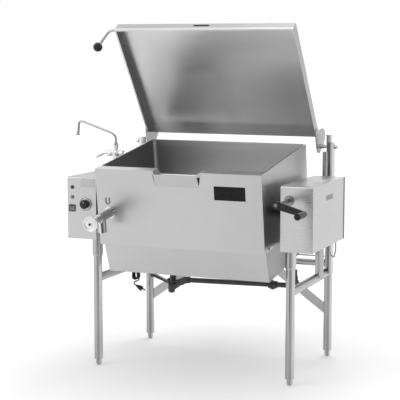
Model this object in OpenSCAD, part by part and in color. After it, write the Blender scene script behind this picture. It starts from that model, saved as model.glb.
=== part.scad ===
// Tilting bratt pan on open legs: a deep rectangular pan between two consoles,
// tilted by a hand crank, with a hinged lid, a draw-off valve and a swing spout.
// Millimetres, +Z up, floor at zero, front of the machine towards -Y.

/* [Frame] */
// Distance of the leg centres outside the consoles' inner walls
leg_out = 28; // [24:0.5:60]
// How much less the legs' front to back span is than the pan's
leg_span_less = 46.9; // [20:0.1:80]
// Outer diameter of the leg tubes
leg_d = 41.3; // [38:0.1:44]
// Wall of every frame tube
tube_wall = 1.6; // [1.2:0.1:3]
// Height of the foot, up to the bottom of the leg tube
foot_h = 35.3; // [25:0.1:50]
// Diameter of the bullet foot
foot_d = 27; // [22:0.5:32]
// Height of the side rails' centre line
rail_z = 428; // [380:1:460]
// Height of the rear rail above the side rails
rear_rail_up = 40; // [30:1:60]
// Outer diameter of the rear rail
rear_rail_d = 34; // [25:0.5:40]
// Outer diameter of the sockets that hold the front legs
socket_d = 50; // [46:0.5:60]
// Length of those sockets below the consoles
socket_h = 87.5; // [60:0.5:120]
// Width of the flat braces at the back
brace_w = 44; // [30:1:60]
// Thickness of the flat braces
brace_t = 5; // [3:0.5:8]

/* [Consoles] */
// Width of each console
console_w = 151.5; // [130:0.5:180]
// Gap between the pan's side and a console
console_gap = 51.3; // [30:0.1:70]
// How much less a console's front to back size is than the legs' span
console_less = 93; // [60:1:140]
// Height of a console
console_h = 295; // [260:1:320]
// Height of a console's underside
console_z = 623.5; // [600:0.5:660]
// How far the consoles stand ahead of the front legs
console_ahead = 68; // [50:1:90]
// Sheet of the consoles
console_sheet = 2; // [1.5:0.1:3]
// Radius of the consoles' front top edge
console_round = 8; // [3:0.5:15]

/* [Pan] */
// Outer width of the pan
pan_w = 813.4; // [760:0.1:830]
// Outer front to back size of the pan
pan_depth = 642.9; // [580:0.1:660]
// Depth of the front skirt below the rim
skirt_h = 362; // [330:1:400]
// Depth of the cooking tank
tank_h = 232; // [180:1:260]
// Width of the flat rim along the front
front_rim = 55; // [40:1:70]
// Width of the hemmed rim along the sides and back
side_rim = 6; // [5:0.5:12]
// Sheet of the tank's walls
liner_t = 3; // [2:0.1:4]
// Plate under the tank
sole_t = 14; // [8:1:20]
// Sheet of the skirts
skin_t = 2; // [1.5:0.1:3]
// Tilt of the pan at rest
rest_tilt = 8.49; // [0:0.01:10]
// Furthest tilt of the pan from level
full_tilt = 75; // [60:1:80]
// Inset of the burner box's sides from the pan's
box_inset = 5.7; // [3:0.1:30]
// Height of the burner box below the skirts
box_h = 149; // [100:1:160]
// Setback of the burner box's front at its top
box_set_top = 25; // [10:1:40]
// Setback of the burner box's front at its bottom
box_set_low = 60; // [40:1:80]

/* [Pour lip] */
// Width of the lip's edge
lip_w = 202; // [150:1:240]
// How far the lip's edge stands out of the skirt
lip_out = 19; // [10:1:25]
// Depth of the lip's edge below the rim
lip_drop = 12; // [6:1:20]
// Depth of the lip's lower crease below the rim
lip_crease = 66; // [45:1:90]
// Extra width of the lip's opening at the rim, on each side
lip_flare = 16; // [5:1:25]

/* [Tilting gear] */
// Height of the trunnions above the consoles' underside
trunnion_up = 152.8; // [140:0.1:170]
// Trunnions ahead of the middle of the legs
trunnion_ahead = 130; // [110:1:150]
// Diameter of the trunnion shafts
trunnion_d = 40; // [30:1:50]
// Trunnions ahead of the pan's middle
trunnion_fore = 8.15; // [0:0.05:20]
// From the trunnions up to the rim, pan level
rim_rise = 245.5; // [230:0.1:260]
// Tooth module of the worm gear
gear_module = 4; // [3:0.5:5]
// Teeth of the worm wheel
gear_teeth = 30; // [24:1:36]
// Pitch diameter of the worm
worm_pitch_d = 40; // [30:1:42]
// Thickness of the worm wheel's rim
gear_w = 14; // [10:1:18]
// Diameter of the crank shaft
crank_shaft_d = 16; // [12:0.5:20]
// Reach of the crank shaft in front of the console
crank_reach = 175; // [165:1:210]
// Length of the crank arm between its centres
crank_arm = 129; // [110:1:150]
// Length of the crank grip
grip_len = 88; // [60:1:95]
// Diameter of the crank grip
grip_d = 29; // [20:0.5:32]

/* [Lid] */
// Gap between the lid's side and a console's inner wall, seen from above
lid_gap = 10; // [6:0.5:30]
// Lid's front edge ahead of the pan's, lid closed and pan level
lid_over = 10.5; // [4:0.5:20]
// Lid's rear edge ahead of the pan's
lid_short = 26.7; // [10:0.1:40]
// Depth of the lid's flanges
lid_flange = 48.2; // [40:0.1:52]
// Sheet of the lid
lid_sheet = 1.5; // [1:0.1:2.5]
// Opening of the lid at rest, from closed
lid_open = 54.38; // [30:0.01:80]
// Height of the lid's hinge pins above the level pan's rim
pin_over = 29.2; // [27:0.1:40]
// Hinge pins ahead of the rear legs
pin_ahead = 46; // [43:0.5:60]
// Diameter of the hinge pins
pin_d = 16; // [12:0.5:20]
// Distance of the lid posts outside the consoles' inner walls
post_out = 45; // [40:0.5:60]
// Height of the lid posts above the hinge pins
post_over = 20; // [15:1:40]
// Diameter of the lid handle's ball
ball_d = 45; // [35:1:50]
// Diameter of the lid handle's rod
rod_d = 13; // [10:0.5:16]

/* [Draw-off valve] */
// Valve axis inside the pan's left side
valve_in = 63.7; // [50:0.1:120]
// Valve axis below the rim
valve_drop = 205; // [190:1:212]
// Diameter of the valve's barrel
valve_d = 42; // [36:1:50]
// Bore of the valve
valve_bore = 34; // [26:1:38]
// Reach of the barrel in front of the skirt
valve_reach = 115; // [100:1:130]
// Diameter of the handwheel
wheel_d = 71; // [50:1:75]

/* [Faucet] */
// Spout pivot outside the left console's inner wall
faucet_out = 85; // [70:1:100]
// Spout pivot behind the middle of the legs
faucet_y = 20; // [10:1:40]
// Height of the faucet body's axis above the console
faucet_up = 84.5; // [70:0.5:100]
// Reach of the spout
spout_reach = 212; // [180:1:214]
// Height of the spout's outlet above the faucet body's axis
spout_up = 84; // [80:1:100]
// Diameter of the spout's pipe
spout_d = 12.7; // [10:0.1:16]

/* [Controls] */
// Diameter of the thermostat knob
knob_d = 44; // [35:1:50]
// Diameter of the dial ring behind the knob
dial_d = 58; // [50:1:64]
// Width of the power switch
switch_w = 34; // [28:1:40]
// Diameter of the lamps
lamp_d = 13; // [10:0.5:18]

/* [Gas line] */
// Outer diameter of the gas pipe
gas_d = 26.7; // [20:0.1:34]
// Depth of the gas pipe's long run below the side rails
gas_below = 96; // [70:1:120]
// Depth of the gas elbow at the left below the long run
gas_elbow = 42; // [30:1:60]

/* [Mains cord] */
// Diameter of the cord
cord_d = 7; // [6:0.1:8]
// Loops in the tied hank
hank_loops = 5; // [3:1:6]
// Height of the hank
hank_h = 184; // [150:1:220]

/* [Hidden] */
$fn = 48;
fine = 96;

// Clearances and small sizes that several pieces share
eps = 0.5;
seat = 0.05;
run = 0.06;
free = 0.4;
// Where the middle of the legs stands from the part's own origin
machine_x = 61;
machine_y = 167;

// Places that follow from the sizes above
console_in = pan_w / 2 + console_gap;
leg_x = console_in + leg_out;
leg_y = (pan_depth - leg_span_less) / 2;
leg_span_x = 2 * leg_x;
leg_span_y = 2 * leg_y;
rear_rail_z = rail_z + rear_rail_up;
socket_z = console_z - socket_h;
console_depth = leg_span_y - console_less;
console_front = leg_y + console_ahead;
console_top = console_z + console_h;
console_back = console_depth - console_front;
trunnion_y = -trunnion_ahead;
trunnion_z = console_z + trunnion_up;
pan_ahead = pan_depth / 2 - trunnion_fore;
box_w = pan_w - 2 * box_inset;
box_bottom = skirt_h + box_h;
worm_z = trunnion_z + (gear_teeth * gear_module + worm_pitch_d) / 2;
gear_in = 42;
gear_x = console_in + gear_in;
pin_back = leg_y - pin_ahead;
pin_z = trunnion_z + rim_rise + pin_over;
post_x = console_in + post_out;
post_top = pin_z + post_over;
lid_w = 2 * (console_in - lid_gap);
lid_depth = pan_depth - lid_short + lid_over;
pin_wall = lid_w / 2 + free / 2;
valve_x = pan_w / 2 - valve_in;
faucet_x = console_in + faucet_out;
faucet_z = console_top + faucet_up;
spout_z = faucet_z + spout_up;
gas_z = rail_z - gas_below;
gas_tee_z = gas_z - gas_elbow;

// Pieces are drawn about the middle of the legs, on the floor
module machine() translate([machine_x, machine_y, 0]) children();
// The pan's pieces are drawn level, about the front edge's middle at the rim
module in_pan() machine() translate([0, trunnion_y, trunnion_z]) rotate([rest_tilt, 0, 0])
    translate([0, -pan_ahead, rim_rise]) children();
// The same turn, about the trunnions' middle
module on_trunnion() machine() translate([0, trunnion_y, trunnion_z]) rotate([rest_tilt, 0, 0]) children();
// The lid's pieces are drawn closed, about the middle of the hinge pins' axis
module on_hinge() machine() translate([0, pin_back, pin_z]) rotate([-lid_open, 0, 0]) children();

module on_side(side) mirror([side < 0 ? 1 : 0, 0, 0]) children();
module bar_x(d, from, to) translate([from, 0, 0]) rotate([0, 90, 0]) cylinder(d = d, h = to - from);
module bar_y(d, from, to) translate([0, from, 0]) rotate([-90, 0, 0]) cylinder(d = d, h = to - from);
module bar_z(d, from, to) translate([0, 0, from]) cylinder(d = d, h = to - from);
module along_way(v) rotate([0, acos(unit(v)[2]), atan2(v[1], v[0])]) children();
module rod(a, b, d) translate(a) along_way(b - a) cylinder(d = d, h = norm(b - a));
module block(x, y, z) translate([x[0], y[0], z[0]]) cube([x[1] - x[0], y[1] - y[0], z[1] - z[0]]);
module ring_z(d, bore, from, to) difference() {
    bar_z(d, from, to);
    bar_z(bore, from - eps, to + eps);
}

// A tube swept along a list of points, with its ends square to its first and last run
function unit(v) = v / norm(v);
function along(p, i) = i == 0 ? unit(p[1] - p[0]) : i == len(p) - 1 ? unit(p[i] - p[i - 1])
    : unit(unit(p[i + 1] - p[i]) + unit(p[i] - p[i - 1]));
function sides_of(p, i = 0, last = [0, 0, 0], out = []) = i == len(p) ? out
    : let (t = along(p, i), s = i == 0 ? unit(cross(t, abs(t[2]) < 0.9 ? [0, 0, 1] : [1, 0, 0]))
        : unit(last - (last * t) * t)) sides_of(p, i + 1, s, concat(out, [s]));
module sweep(p, d, n) {
    s = sides_of(p);
    pts = [for (i = [0 : len(p) - 1], k = [0 : n - 1]) let (t = along(p, i), u = s[i], v = cross(t, u))
        p[i] + d / 2 * (cos(360 * k / n) * u + sin(360 * k / n) * v)];
    last = len(p) - 1;
    quads = [for (i = [0 : last - 1], k = [0 : n - 1]) let (a = i * n + k, b = i * n + (k + 1) % n)
        each [[a, b + n, b], [a, a + n, b + n]]];
    caps = [[for (k = [0 : n - 1]) k], [for (k = [n - 1 : -1 : 0]) last * n + k]];
    polyhedron(points = pts, faces = concat(quads, caps), convexity = 10);
}

// Feet, legs and the lower frame
foot_collar = 4;
foot_stem = 16;
foot_tip = 0.45;
module feet() color("silver") machine() for (x = [-leg_x, leg_x], y = [-leg_y, leg_y]) translate([x, y, 0])
    rotate_extrude($fn = 32) polygon(concat([[0, 0]],
        [for (t = [0 : 15 : 90]) [foot_d / 2 * (foot_tip + (1 - foot_tip) * sin(t)),
            foot_stem * (1 - cos(t))]],
        [[foot_d / 2, foot_h - foot_collar], [leg_d / 2, foot_h - foot_collar], [leg_d / 2, foot_h],
            [0, foot_h]]));
module leg(x, y, top) color("silver") machine() translate([x, y, 0])
    ring_z(leg_d, leg_d - 2 * tube_wall, foot_h, top);
rear_leg_top = rear_rail_z + rear_rail_d * 0.7;
socket_flange = 6;
socket_taper = 10;
module leg_socket(side) color("silver") machine() translate([side * leg_x, -leg_y, 0])
    rotate_extrude($fn = fine)
    polygon([[leg_d / 2 + seat, socket_z], [socket_d / 2 - socket_taper / 4, socket_z],
        [socket_d / 2, socket_z + socket_taper], [socket_d / 2, console_z - socket_flange],
        [socket_d / 2 + socket_flange, console_z - socket_flange],
            [socket_d / 2 + socket_flange, console_z],
        [leg_d / 2 + seat, console_z]]);
module leg_cuts(side) for (y = [-leg_y, leg_y]) translate([side * leg_x, y, 0])
    bar_z(leg_d + 2 * seat, 0, console_z);
stay_out = 12;
stay_in = 32;
stay_x = leg_x + stay_out;
stay_y = console_back - stay_in;
module side_frame(side) color("silver") machine() difference() {
    union() {
        translate([side * leg_x, 0, rail_z]) bar_y(leg_d, -leg_y, leg_y);
        translate([side * stay_x, stay_y, 0]) bar_z(leg_d, rail_z, console_z);
    }
    translate([side * leg_x, 0, rail_z]) bar_y(leg_d - 2 * tube_wall, -leg_y, leg_y);
    translate([side * stay_x, stay_y, 0]) bar_z(leg_d - 2 * tube_wall, rail_z + leg_d / 2, console_z + eps);
    leg_cuts(side);
}
module rear_rail() color("silver") machine() difference() {
    translate([0, leg_y, rear_rail_z]) bar_x(rear_rail_d, -leg_x, leg_x);
    translate([0, leg_y, rear_rail_z]) bar_x(rear_rail_d - 2 * tube_wall, -leg_x - eps, leg_x + eps);
    leg_cuts(-1);
    leg_cuts(1);
}
brace_below = 200;
brace_share = 0.69;
brace_low = rail_z - brace_below;
brace_run = leg_x * brace_share;
module brace(side) color("silver") machine() difference() {
    rise = rear_rail_z - brace_low;
    translate([side * leg_x, leg_y, brace_low]) rotate([0, side * atan2(rise, brace_run), 0])
        translate([side > 0 ? -brace_run * 2 : 0, -brace_t / 2, -brace_w / 2])
            cube([brace_run * 2, brace_t, brace_w]);
    leg_cuts(side);
    translate([0, leg_y, rear_rail_z]) bar_x(rear_rail_d + 2 * seat, -leg_x, leg_x);
    block([-leg_x, leg_x], [0, leg_y * 2], [rear_rail_z, rear_rail_z + console_h]);
}

// Lid posts, hinge pins and what stands beside them
module post_hole() translate([0, pin_back, pin_z]) bar_x(pin_d + 2 * seat, -lid_w, lid_w);
module lid_post(side) color("silver") machine() difference() {
    translate([side * post_x, pin_back, 0]) bar_z(leg_d, rail_z, post_top);
    translate([side * post_x, pin_back, 0]) bar_z(leg_d - 2 * tube_wall, rail_z + leg_d,
        post_top - tube_wall * 2);
    translate([side * leg_x, 0, rail_z]) bar_y(leg_d + 2 * seat, -leg_y, leg_y);
    leg_cuts(side);
    post_hole();
}
plate_t = 5;
pin_head = 10;
pin_head_d = 24;
module hinge_pins() color("gainsboro") for (side = [-1, 1]) machine() on_side(side)
    translate([0, pin_back, pin_z]) {
    bar_x(pin_d, pin_wall - 4 * plate_t / 5, post_x + leg_d / 2 + pin_head + plate_t);
    bar_x(pin_head_d, post_x + leg_d / 2 + seat, post_x + leg_d / 2 + pin_head);
    bar_x(pin_head_d, pin_wall + plate_t + free, post_x - leg_d / 2 - pin_head);
}
damper_d = 26;
damper_h = 36;
damper_cap = 4;
module post_cap() translate([post_x - 2 * damper_cap, pin_back, post_top]) {
    bar_z(damper_d, 0, damper_h);
    bar_z(damper_d + damper_cap, damper_h - damper_cap, damper_h);
}
spring_d = 18;
spring_gap = 6;
spring_drop = 150;
spring_x = post_x - leg_d / 2 - spring_d / 2 - spring_gap / 2;
spring_short = 29;
spring_top = pin_z - spring_short;
spring_low = console_top - spring_drop;
spring_y = pin_back + damper_cap;
clip_w = 22;
module lid_balance() color("silver") machine() {
    post_cap();
    translate([spring_x, spring_y, 0]) {
        bar_z(spring_d, spring_low, spring_top);
        bar_z(spring_d / 2, spring_top, spring_top + damper_cap);
    }
    for (z = [spring_low, console_top - 2 * clip_w]) difference() {
        translate([spring_x, spring_y, 0]) bar_z(spring_d + 3 * damper_cap, z, z + clip_w);
        translate([post_x, pin_back, 0]) bar_z(leg_d + 2 * seat, z - eps, z + clip_w + eps);
    }
}

// Consoles
module console_side_shape(inset) difference() {
    union() {
        translate([-console_front + inset, inset])
            square([console_depth - 2 * inset, console_h - 2 * inset - console_round]);
        translate([-console_front + inset + console_round, inset])
            square([console_depth - 2 * inset - console_round, console_h - 2 * inset]);
        translate([-console_front + inset + console_round, console_h - inset - console_round])
            circle(r = console_round);
    }
}
cover_depth = 9;
cover_gap = 5;
cover_lap = 14;
module console_solid(inset) translate([console_in + inset, 0, console_z]) rotate([90, 0, 90])
    linear_extrude(console_w - 2 * inset) console_side_shape(inset);
// The open-backed box, which stops short of its back cover by a shadow gap
module console_shell() difference() {
    console_solid(0);
    console_solid(console_sheet);
    block([console_in - eps, console_in + console_w + eps],
        [console_back - cover_depth - cover_gap, console_back + eps],
        [console_z - eps, console_top + eps]);
    translate([0, trunnion_y, trunnion_z]) bar_x(trunnion_d + 2 * console_sheet, console_in - eps,
        console_in + console_sheet + eps);
}
module console_tray(from, to, inset, sheet) difference() {
    x = [console_in + inset, console_in + console_w - inset];
    z = [console_z + inset, console_top - inset];
    block(x, [from, to], z);
    block([x[0] + sheet, x[1] - sheet], [from - eps, to + eps], [z[0] + sheet, z[1] - sheet]);
}
module panel_hole(x, z, d) translate([x, -console_front, z]) bar_y(d, -eps, console_sheet + eps);
knob_out = 55.5;
knob_up = 167.2;
lamp_out = 125;
lamp_up = 198.5;
lamp_pitch = 47;
switch_out = 126.4;
switch_up = 145.8;
knob_x = console_in + knob_out;
knob_z = console_z + knob_up;
lamp_x = console_in + lamp_out;
lamp_zs = [console_z + lamp_up + lamp_pitch, console_z + lamp_up];
switch_x = console_in + switch_out;
switch_z = console_z + switch_up;
knob_shaft_d = 8;
module console_left() color("silver") machine() mirror([1, 0, 0]) difference() {
    console_shell();
    panel_hole(knob_x, knob_z, knob_shaft_d + 2 * free);
    for (z = lamp_zs) panel_hole(lamp_x, z, lamp_d + seat);
    block([switch_x - switch_w / 2 + console_sheet, switch_x + switch_w / 2 - console_sheet],
        [-console_front - eps, -console_front + console_sheet + eps],
        [switch_z - switch_w / 2 + console_sheet, switch_z + switch_w / 2 - console_sheet]);
}
module console_right() color("silver") machine() difference() {
    console_shell();
    panel_hole(gear_x, worm_z, crank_shaft_d + 2 * console_sheet);
}
// The back cover: a shallow tray whose inner lip slips into the box
module console_cover() {
    console_tray(console_back - cover_depth, console_back, 0, console_sheet);
    console_tray(console_back - cover_depth - cover_lap, console_back - console_sheet,
        console_sheet + seat, console_sheet);
    block([console_in, console_in + console_w], [console_back - console_sheet, console_back],
        [console_z, console_top]);
}
gland_out_x = 87;
gland_up = 38.5;
gland_x = console_in + gland_out_x;
gland_z = console_z + gland_up;
gland_bore = 15;
module console_left_back() color("gainsboro") machine() mirror([1, 0, 0]) difference() {
    console_cover();
    translate([gland_x, console_back - console_sheet, gland_z])
        bar_y(gland_bore, -eps, console_sheet + eps);
}
module console_right_back() color("gainsboro") machine() console_cover();

// Trunnion bearings, worm gear and crank
bearing_t = 20;
bearing_side = 76;
module trunnion_bearing(side) color("dimgray") machine() on_side(side) difference() {
    x0 = console_in + console_sheet;
    block([x0, x0 + bearing_t], [trunnion_y - bearing_side / 2, trunnion_y + bearing_side / 2],
        [console_z + console_sheet, trunnion_z + bearing_side / 2 - gear_module]);
    translate([0, trunnion_y, trunnion_z]) bar_x(trunnion_d + 2 * run, x0 - eps, x0 + bearing_t + eps);
}
worm_len = 50;
worm_y = trunnion_y;
bracket_t = 14;
bracket_gap = 5;
module worm_bracket() color("dimgray") machine() difference() {
    x0 = gear_x - worm_pitch_d / 2;
    x1 = gear_x + worm_pitch_d / 2;
    zt = worm_z + worm_pitch_d / 2;
    union() {
        for (y = [worm_y - worm_len / 2 - bracket_gap - bracket_t, worm_y + worm_len / 2 + bracket_gap])
            block([x0, console_in + console_w - console_sheet], [y, y + bracket_t],
                [worm_z - crank_shaft_d, zt]);
        block([x1 + gear_module * 2, console_in + console_w - console_sheet],
            [worm_y - worm_len / 2 - bracket_gap - bracket_t,
                worm_y + worm_len / 2 + bracket_gap + bracket_t],
            [worm_z - crank_shaft_d, zt]);
    }
    translate([gear_x, 0, worm_z]) bar_y(crank_shaft_d + 2 * run, -console_front, console_back);
}
escutcheon_d = 47;
escutcheon_t = 6;
module crank_escutcheon() color("silver") machine() translate([gear_x, -console_front, worm_z])
    difference() {
    union() {
        bar_y(escutcheon_d, -escutcheon_t / 2, 0);
        bar_y(escutcheon_d * 0.6, -escutcheon_t * 2, 0);
    }
    bar_y(crank_shaft_d + 2 * run, -escutcheon_t * 2 - eps, eps);
}
// The worm's thread, one start, turned so that it meshes with the wheel at rest
worm_steps = 24;
worm_pitch = PI * gear_module;
thread_flank = tan(20);
worm_backlash = 1.25;
worm_turns = 4;
worm_phase = 180;
module worm_thread() {
    rr = worm_pitch_d / 2 - 1.15 * gear_module;
    ro = worm_pitch_d / 2 + 0.95 * gear_module;
    half = worm_pitch / 4 - worm_backlash / 2;
    function wr(k) = k == 0 || k == 3 ? rr - eps : ro;
    function wy(k) = let (r = wr(k), w = half - (r - worm_pitch_d / 2) * thread_flank) k < 2 ? -w : w;
    n = worm_steps * worm_turns;
    pts = [for (i = [0 : n], k = [0 : 3]) let (a = 360 * i / worm_steps + worm_phase)
        [wr(k) * sin(a), (i / worm_steps - worm_turns / 2) * worm_pitch + wy(k), -wr(k) * cos(a)]];
    faces = concat([[0, 1, 2, 3], [for (k = [3 : -1 : 0]) 4 * n + k]],
        [for (i = [0 : n - 1], k = [0 : 3]) let (a = 4 * i + k, b = 4 * i + (k + 1) % 4)
            each [[a, a + 4, b + 4], [a, b + 4, b]]]);
    polyhedron(points = pts, faces = faces, convexity = 8);
}
hub_d = 34;
hub_t = 16;
screw_d = 16;
screw_t = 3;
module crank_shaft() color("gray") machine() translate([gear_x, 0, worm_z]) {
    bar_y(crank_shaft_d, -console_front - crank_reach, worm_y + worm_len / 2 + bracket_gap + bracket_t);
    translate([0, hub_y, 0]) {
        bar_y(screw_d / 2, -hub_t + screw_t / 2, 0);
        bar_y(screw_d, -hub_t, -hub_t + screw_t);
    }
    translate([0, worm_y, 0]) {
        bar_y(worm_pitch_d - 2.3 * gear_module, -worm_len / 2, worm_len / 2);
        worm_thread();
    }
}
hub_y = -console_front - crank_reach;
grip_gap = 0.4;
grip_pin_d = 10;
grip_head = 3;
arm_angle = 15;
arm_end_d = 26;
arm_t = 12;
module at_crank() machine() translate([gear_x, hub_y, worm_z]) rotate([0, arm_angle, 0]) children();
module crank_arm() color([0.15, 0.15, 0.16]) at_crank() difference() {
    union() {
        hull() {
            bar_y(hub_d, -arm_t, 0);
            translate([crank_arm, 0, 0]) bar_y(arm_end_d, -arm_t, 0);
        }
        bar_y(hub_d, -hub_t, 0);
        translate([crank_arm, 0, 0]) bar_y(grip_pin_d, -arm_t - grip_gap - grip_len + grip_head * 2, 0);
    }
    translate([0, -hub_t, 0]) bar_y(screw_d + 2 * seat, -eps, screw_t);
    bar_y(screw_d / 2 + 2 * seat, -hub_t, eps);
}
module crank_grip() color([0.13, 0.13, 0.14]) at_crank() translate([crank_arm, -arm_t - grip_gap, 0])
    difference() {
    rotate([90, 0, 0]) rotate_extrude($fn = fine)
        polygon([[0, 0], [grip_d / 2 - grip_head, 0], [grip_d / 2, grip_head],
        [grip_d / 2, grip_len - grip_head], [grip_d / 2 - grip_head, grip_len], [0, grip_len]]);
    bar_y(grip_pin_d + 2 * run, -grip_len + grip_head * 2 - free, eps);
}

// Trunnion shafts
flange_t = 8;
flange_d = 112;
module trunnion(side) color("gray") on_trunnion() on_side(side) {
    bar_x(trunnion_d, pan_w / 2 + flange_t, side > 0 ? gear_x + gear_w
        : console_in + console_sheet + bearing_t + flange_t);
    bar_x(flange_d, pan_w / 2, pan_w / 2 + flange_t);
    if (side > 0) worm_wheel();
}
// Teeth only where the worm comes, from the level pan to the furthest tilt, and two more at either end
tooth_step = 360 / gear_teeth;
teeth_below = ceil((full_tilt - rest_tilt) / tooth_step) + 2;
teeth_above = ceil(rest_tilt / tooth_step) + 2;
module tooth_shape() {
    p = gear_teeth * gear_module / 2;
    half = worm_pitch / 4 - worm_backlash / 2;
    w_tip = half - gear_module * 0.9 * thread_flank;
    w_root = half + gear_module * 1.2 * thread_flank;
    polygon([[p - gear_module * 1.4, -w_root], [p - gear_module * 1.2, -w_root], [p, -half],
        [p + gear_module * 0.45, -half * 0.86],
        [p + gear_module * 0.9, -w_tip * 0.75], [p + gear_module * 0.9, w_tip * 0.75],
        [p + gear_module * 0.45, half * 0.86], [p, half], [p - gear_module * 1.2, w_root],
            [p - gear_module * 1.4, w_root]]);
}
module worm_wheel() translate([gear_x - gear_w / 2, 0, 0]) rotate([90, 0, 90]) linear_extrude(gear_w) {
    difference() {
        circle(r = gear_teeth * gear_module / 2 - gear_module * 1.2, $fn = fine);
        circle(d = trunnion_d - eps);
    }
    for (i = [-teeth_below : teeth_above]) rotate(i * tooth_step + 90 - rest_tilt) tooth_shape();
}

// Pan: tank, skin, pour lip and burner box
tank_r = 14;
cove_r = 22;
tank_x = pan_w / 2 - side_rim;
tank_front = front_rim;
tank_back = pan_depth - side_rim;
module upright_box(x, y, z, r) translate([0, 0, z[0]]) linear_extrude(z[1] - z[0]) {
    translate([-x, y[0] + r]) square([2 * x, y[1] - y[0] - 2 * r]);
    translate([-x + r, y[0]]) square([2 * x - 2 * r, y[1] - y[0]]);
    for (sx = [-1, 1], cy = [y[0] + r, y[1] - r]) translate([sx * (x - r), cy]) circle(r = r);
}
module tank_cavity() hull() {
    ix = tank_x - liner_t - cove_r;
    iy = [tank_front + liner_t + cove_r, tank_back - liner_t - cove_r];
    for (sx = [-1, 1], y = iy) translate([sx * ix, y, 0]) {
        translate([0, 0, -tank_h + cove_r]) sphere(r = cove_r, $fn = 32);
        bar_z(2 * cove_r, -cove_r, eps * 4, $fn = 32);
    }
}
module tank() color("lightgray") in_pan() difference() {
    union() {
        upright_box(tank_x, [tank_front, tank_back], [-tank_h - liner_t, 0], tank_r);
        upright_box(tank_x - tank_r, [tank_front + tank_r, tank_back - tank_r],
            [-tank_h - liner_t - sole_t, -tank_h], tank_r);
    }
    tank_cavity();
    intersection() {
        lip_channel(front_rim + liner_t + cove_r);
        block([-lip_w, lip_w], [front_rim - eps, front_rim + liner_t + cove_r], [-tank_h, eps]);
    }
    translate([-valve_x, 0, -valve_drop]) bar_y(valve_bore, tank_front - eps,
        tank_front + liner_t + cove_r);
}
// The pour lip is one folded sheet: a floor that rises to the edge, a front that runs back down to its
// crease in the skirt, and two cheeks that open out to the rim
lip_t = 3;
lip_floor = 30;
lip_splay = 4;
lip_crease_w = lip_w + 2 * lip_splay;
lip_top_w = lip_w + 2 * lip_flare;
module corner(x, y, z, t) translate([x - t / 2, y, z - t]) cube(t);
module lip_block(grow) hull() for (sx = [-1, 1]) {
    corner(sx * (lip_w / 2 + grow), -lip_out, -lip_drop, lip_t);
    corner(sx * (lip_crease_w / 2 + grow), 0, -lip_crease, lip_t);
    corner(sx * (lip_top_w / 2 + grow), 0, 0, lip_t);
    corner(sx * (lip_top_w / 2 + grow), front_rim - lip_t, 0, lip_t);
    corner(sx * (lip_w / 2 + grow), front_rim - lip_t, -lip_floor, lip_t);
}
// The channel inside it, drawn from the lip's edge to behind the tank's front wall
module lip_channel(back) hull() for (sx = [-1, 1]) {
    corner(sx * (lip_w / 2 - lip_t), -lip_out - lip_t / 2, -lip_drop + lip_t * 1.4, lip_t);
    corner(sx * (lip_w / 2 - lip_t), -lip_out - lip_t / 2, lip_t, lip_t);
    corner(sx * (lip_top_w / 2 - lip_t), 0, lip_t * 2, lip_t);
    corner(sx * (lip_top_w / 2 - lip_t), back, lip_t * 2, lip_t);
    corner(sx * (lip_w / 2 - lip_t), back, -lip_floor + lip_t * 1.4, lip_t);
}
module lip_under() hull() for (sx = [-1, 1]) {
    corner(sx * lip_w, lip_t * 0.7, -lip_crease + lip_t * 0.4, lip_t);
    corner(sx * lip_w, lip_t * 0.7 - lip_out * 0.7, -lip_drop - lip_t * 2.6, lip_t);
    corner(sx * lip_w, front_rim, -lip_floor - lip_t * 0.9, lip_t);
    corner(sx * lip_w, front_rim, -lip_crease * 1.5, lip_t);
}
module pour_lip() color("lightgray") in_pan() difference() {
    lip_block(0);
    lip_channel(front_rim + lip_t);
    lip_under();
}
module pan_skin() color("silver") in_pan() difference() {
    union() {
        difference() {
            block([-pan_w / 2, pan_w / 2], [0, pan_depth], [-skirt_h, 0]);
            block([-pan_w / 2 + skin_t, pan_w / 2 - skin_t], [skin_t, pan_depth - skin_t],
                [-skirt_h - eps, -liner_t]);
            upright_box(tank_x + seat, [tank_front - seat, tank_back + seat], [-tank_h, eps],
                tank_r + seat);
        }
    }
    lip_block(seat);
    translate([-valve_x, 0, -valve_drop]) bar_y(valve_d + 2 * seat, -eps, skin_t + eps);
}

box_short = 22.9;
box_lap = 20;
box_back = pan_depth - box_short;
box_top = skirt_h - box_lap;
box_floor_slots = 7;
box_lug = 12;
module box_side(inset) polygon([[box_set_top + inset, -box_top], [box_set_low + inset, -box_bottom + inset],
    [box_back - inset, -box_bottom + inset], [box_back - inset, -box_top]]);
module burner_box() color("lightgray") in_pan() difference() {
    union() {
        rotate([90, 0, 90]) translate([0, 0, -box_w / 2]) linear_extrude(box_w) box_side(0);
        block([-pan_w / 2 + skin_t, pan_w / 2 - skin_t], [box_set_top, box_back],
            [-box_top - box_lug, -box_top]);
    }
    rotate([90, 0, 90]) translate([0, 0, -box_w / 2 + skin_t]) linear_extrude(box_w - 2 * skin_t)
        translate([0, eps]) box_side(skin_t);
    rotate([90, 0, 90]) translate([0, 0, -box_w / 2 + skin_t]) linear_extrude(box_w - 2 * skin_t)
        box_side(skin_t);
    for (i = [0 : box_floor_slots - 1])
        translate([box_w * (i - (box_floor_slots - 1) / 2) / (box_floor_slots + 1), 0, -box_bottom])
        block([-box_w / 40, box_w / 40], [box_set_low * 2, box_back - box_set_low], [-eps, skin_t + eps]);
}
burner_d = 34;
burner_count = 4;
burner_drop = 452;
module burners() color("dimgray") in_pan() {
    for (i = [0 : burner_count - 1])
        translate([box_w * (i - (burner_count - 1) / 2) / (burner_count + 1), 0, -burner_drop])
        bar_y(burner_d, box_set_low + burner_d, box_back - skin_t);
    translate([0, box_set_low + burner_d, -burner_drop])
        bar_x(burner_d * 0.8, -box_w / 2 + skin_t, box_w / 2 - skin_t);
}

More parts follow.
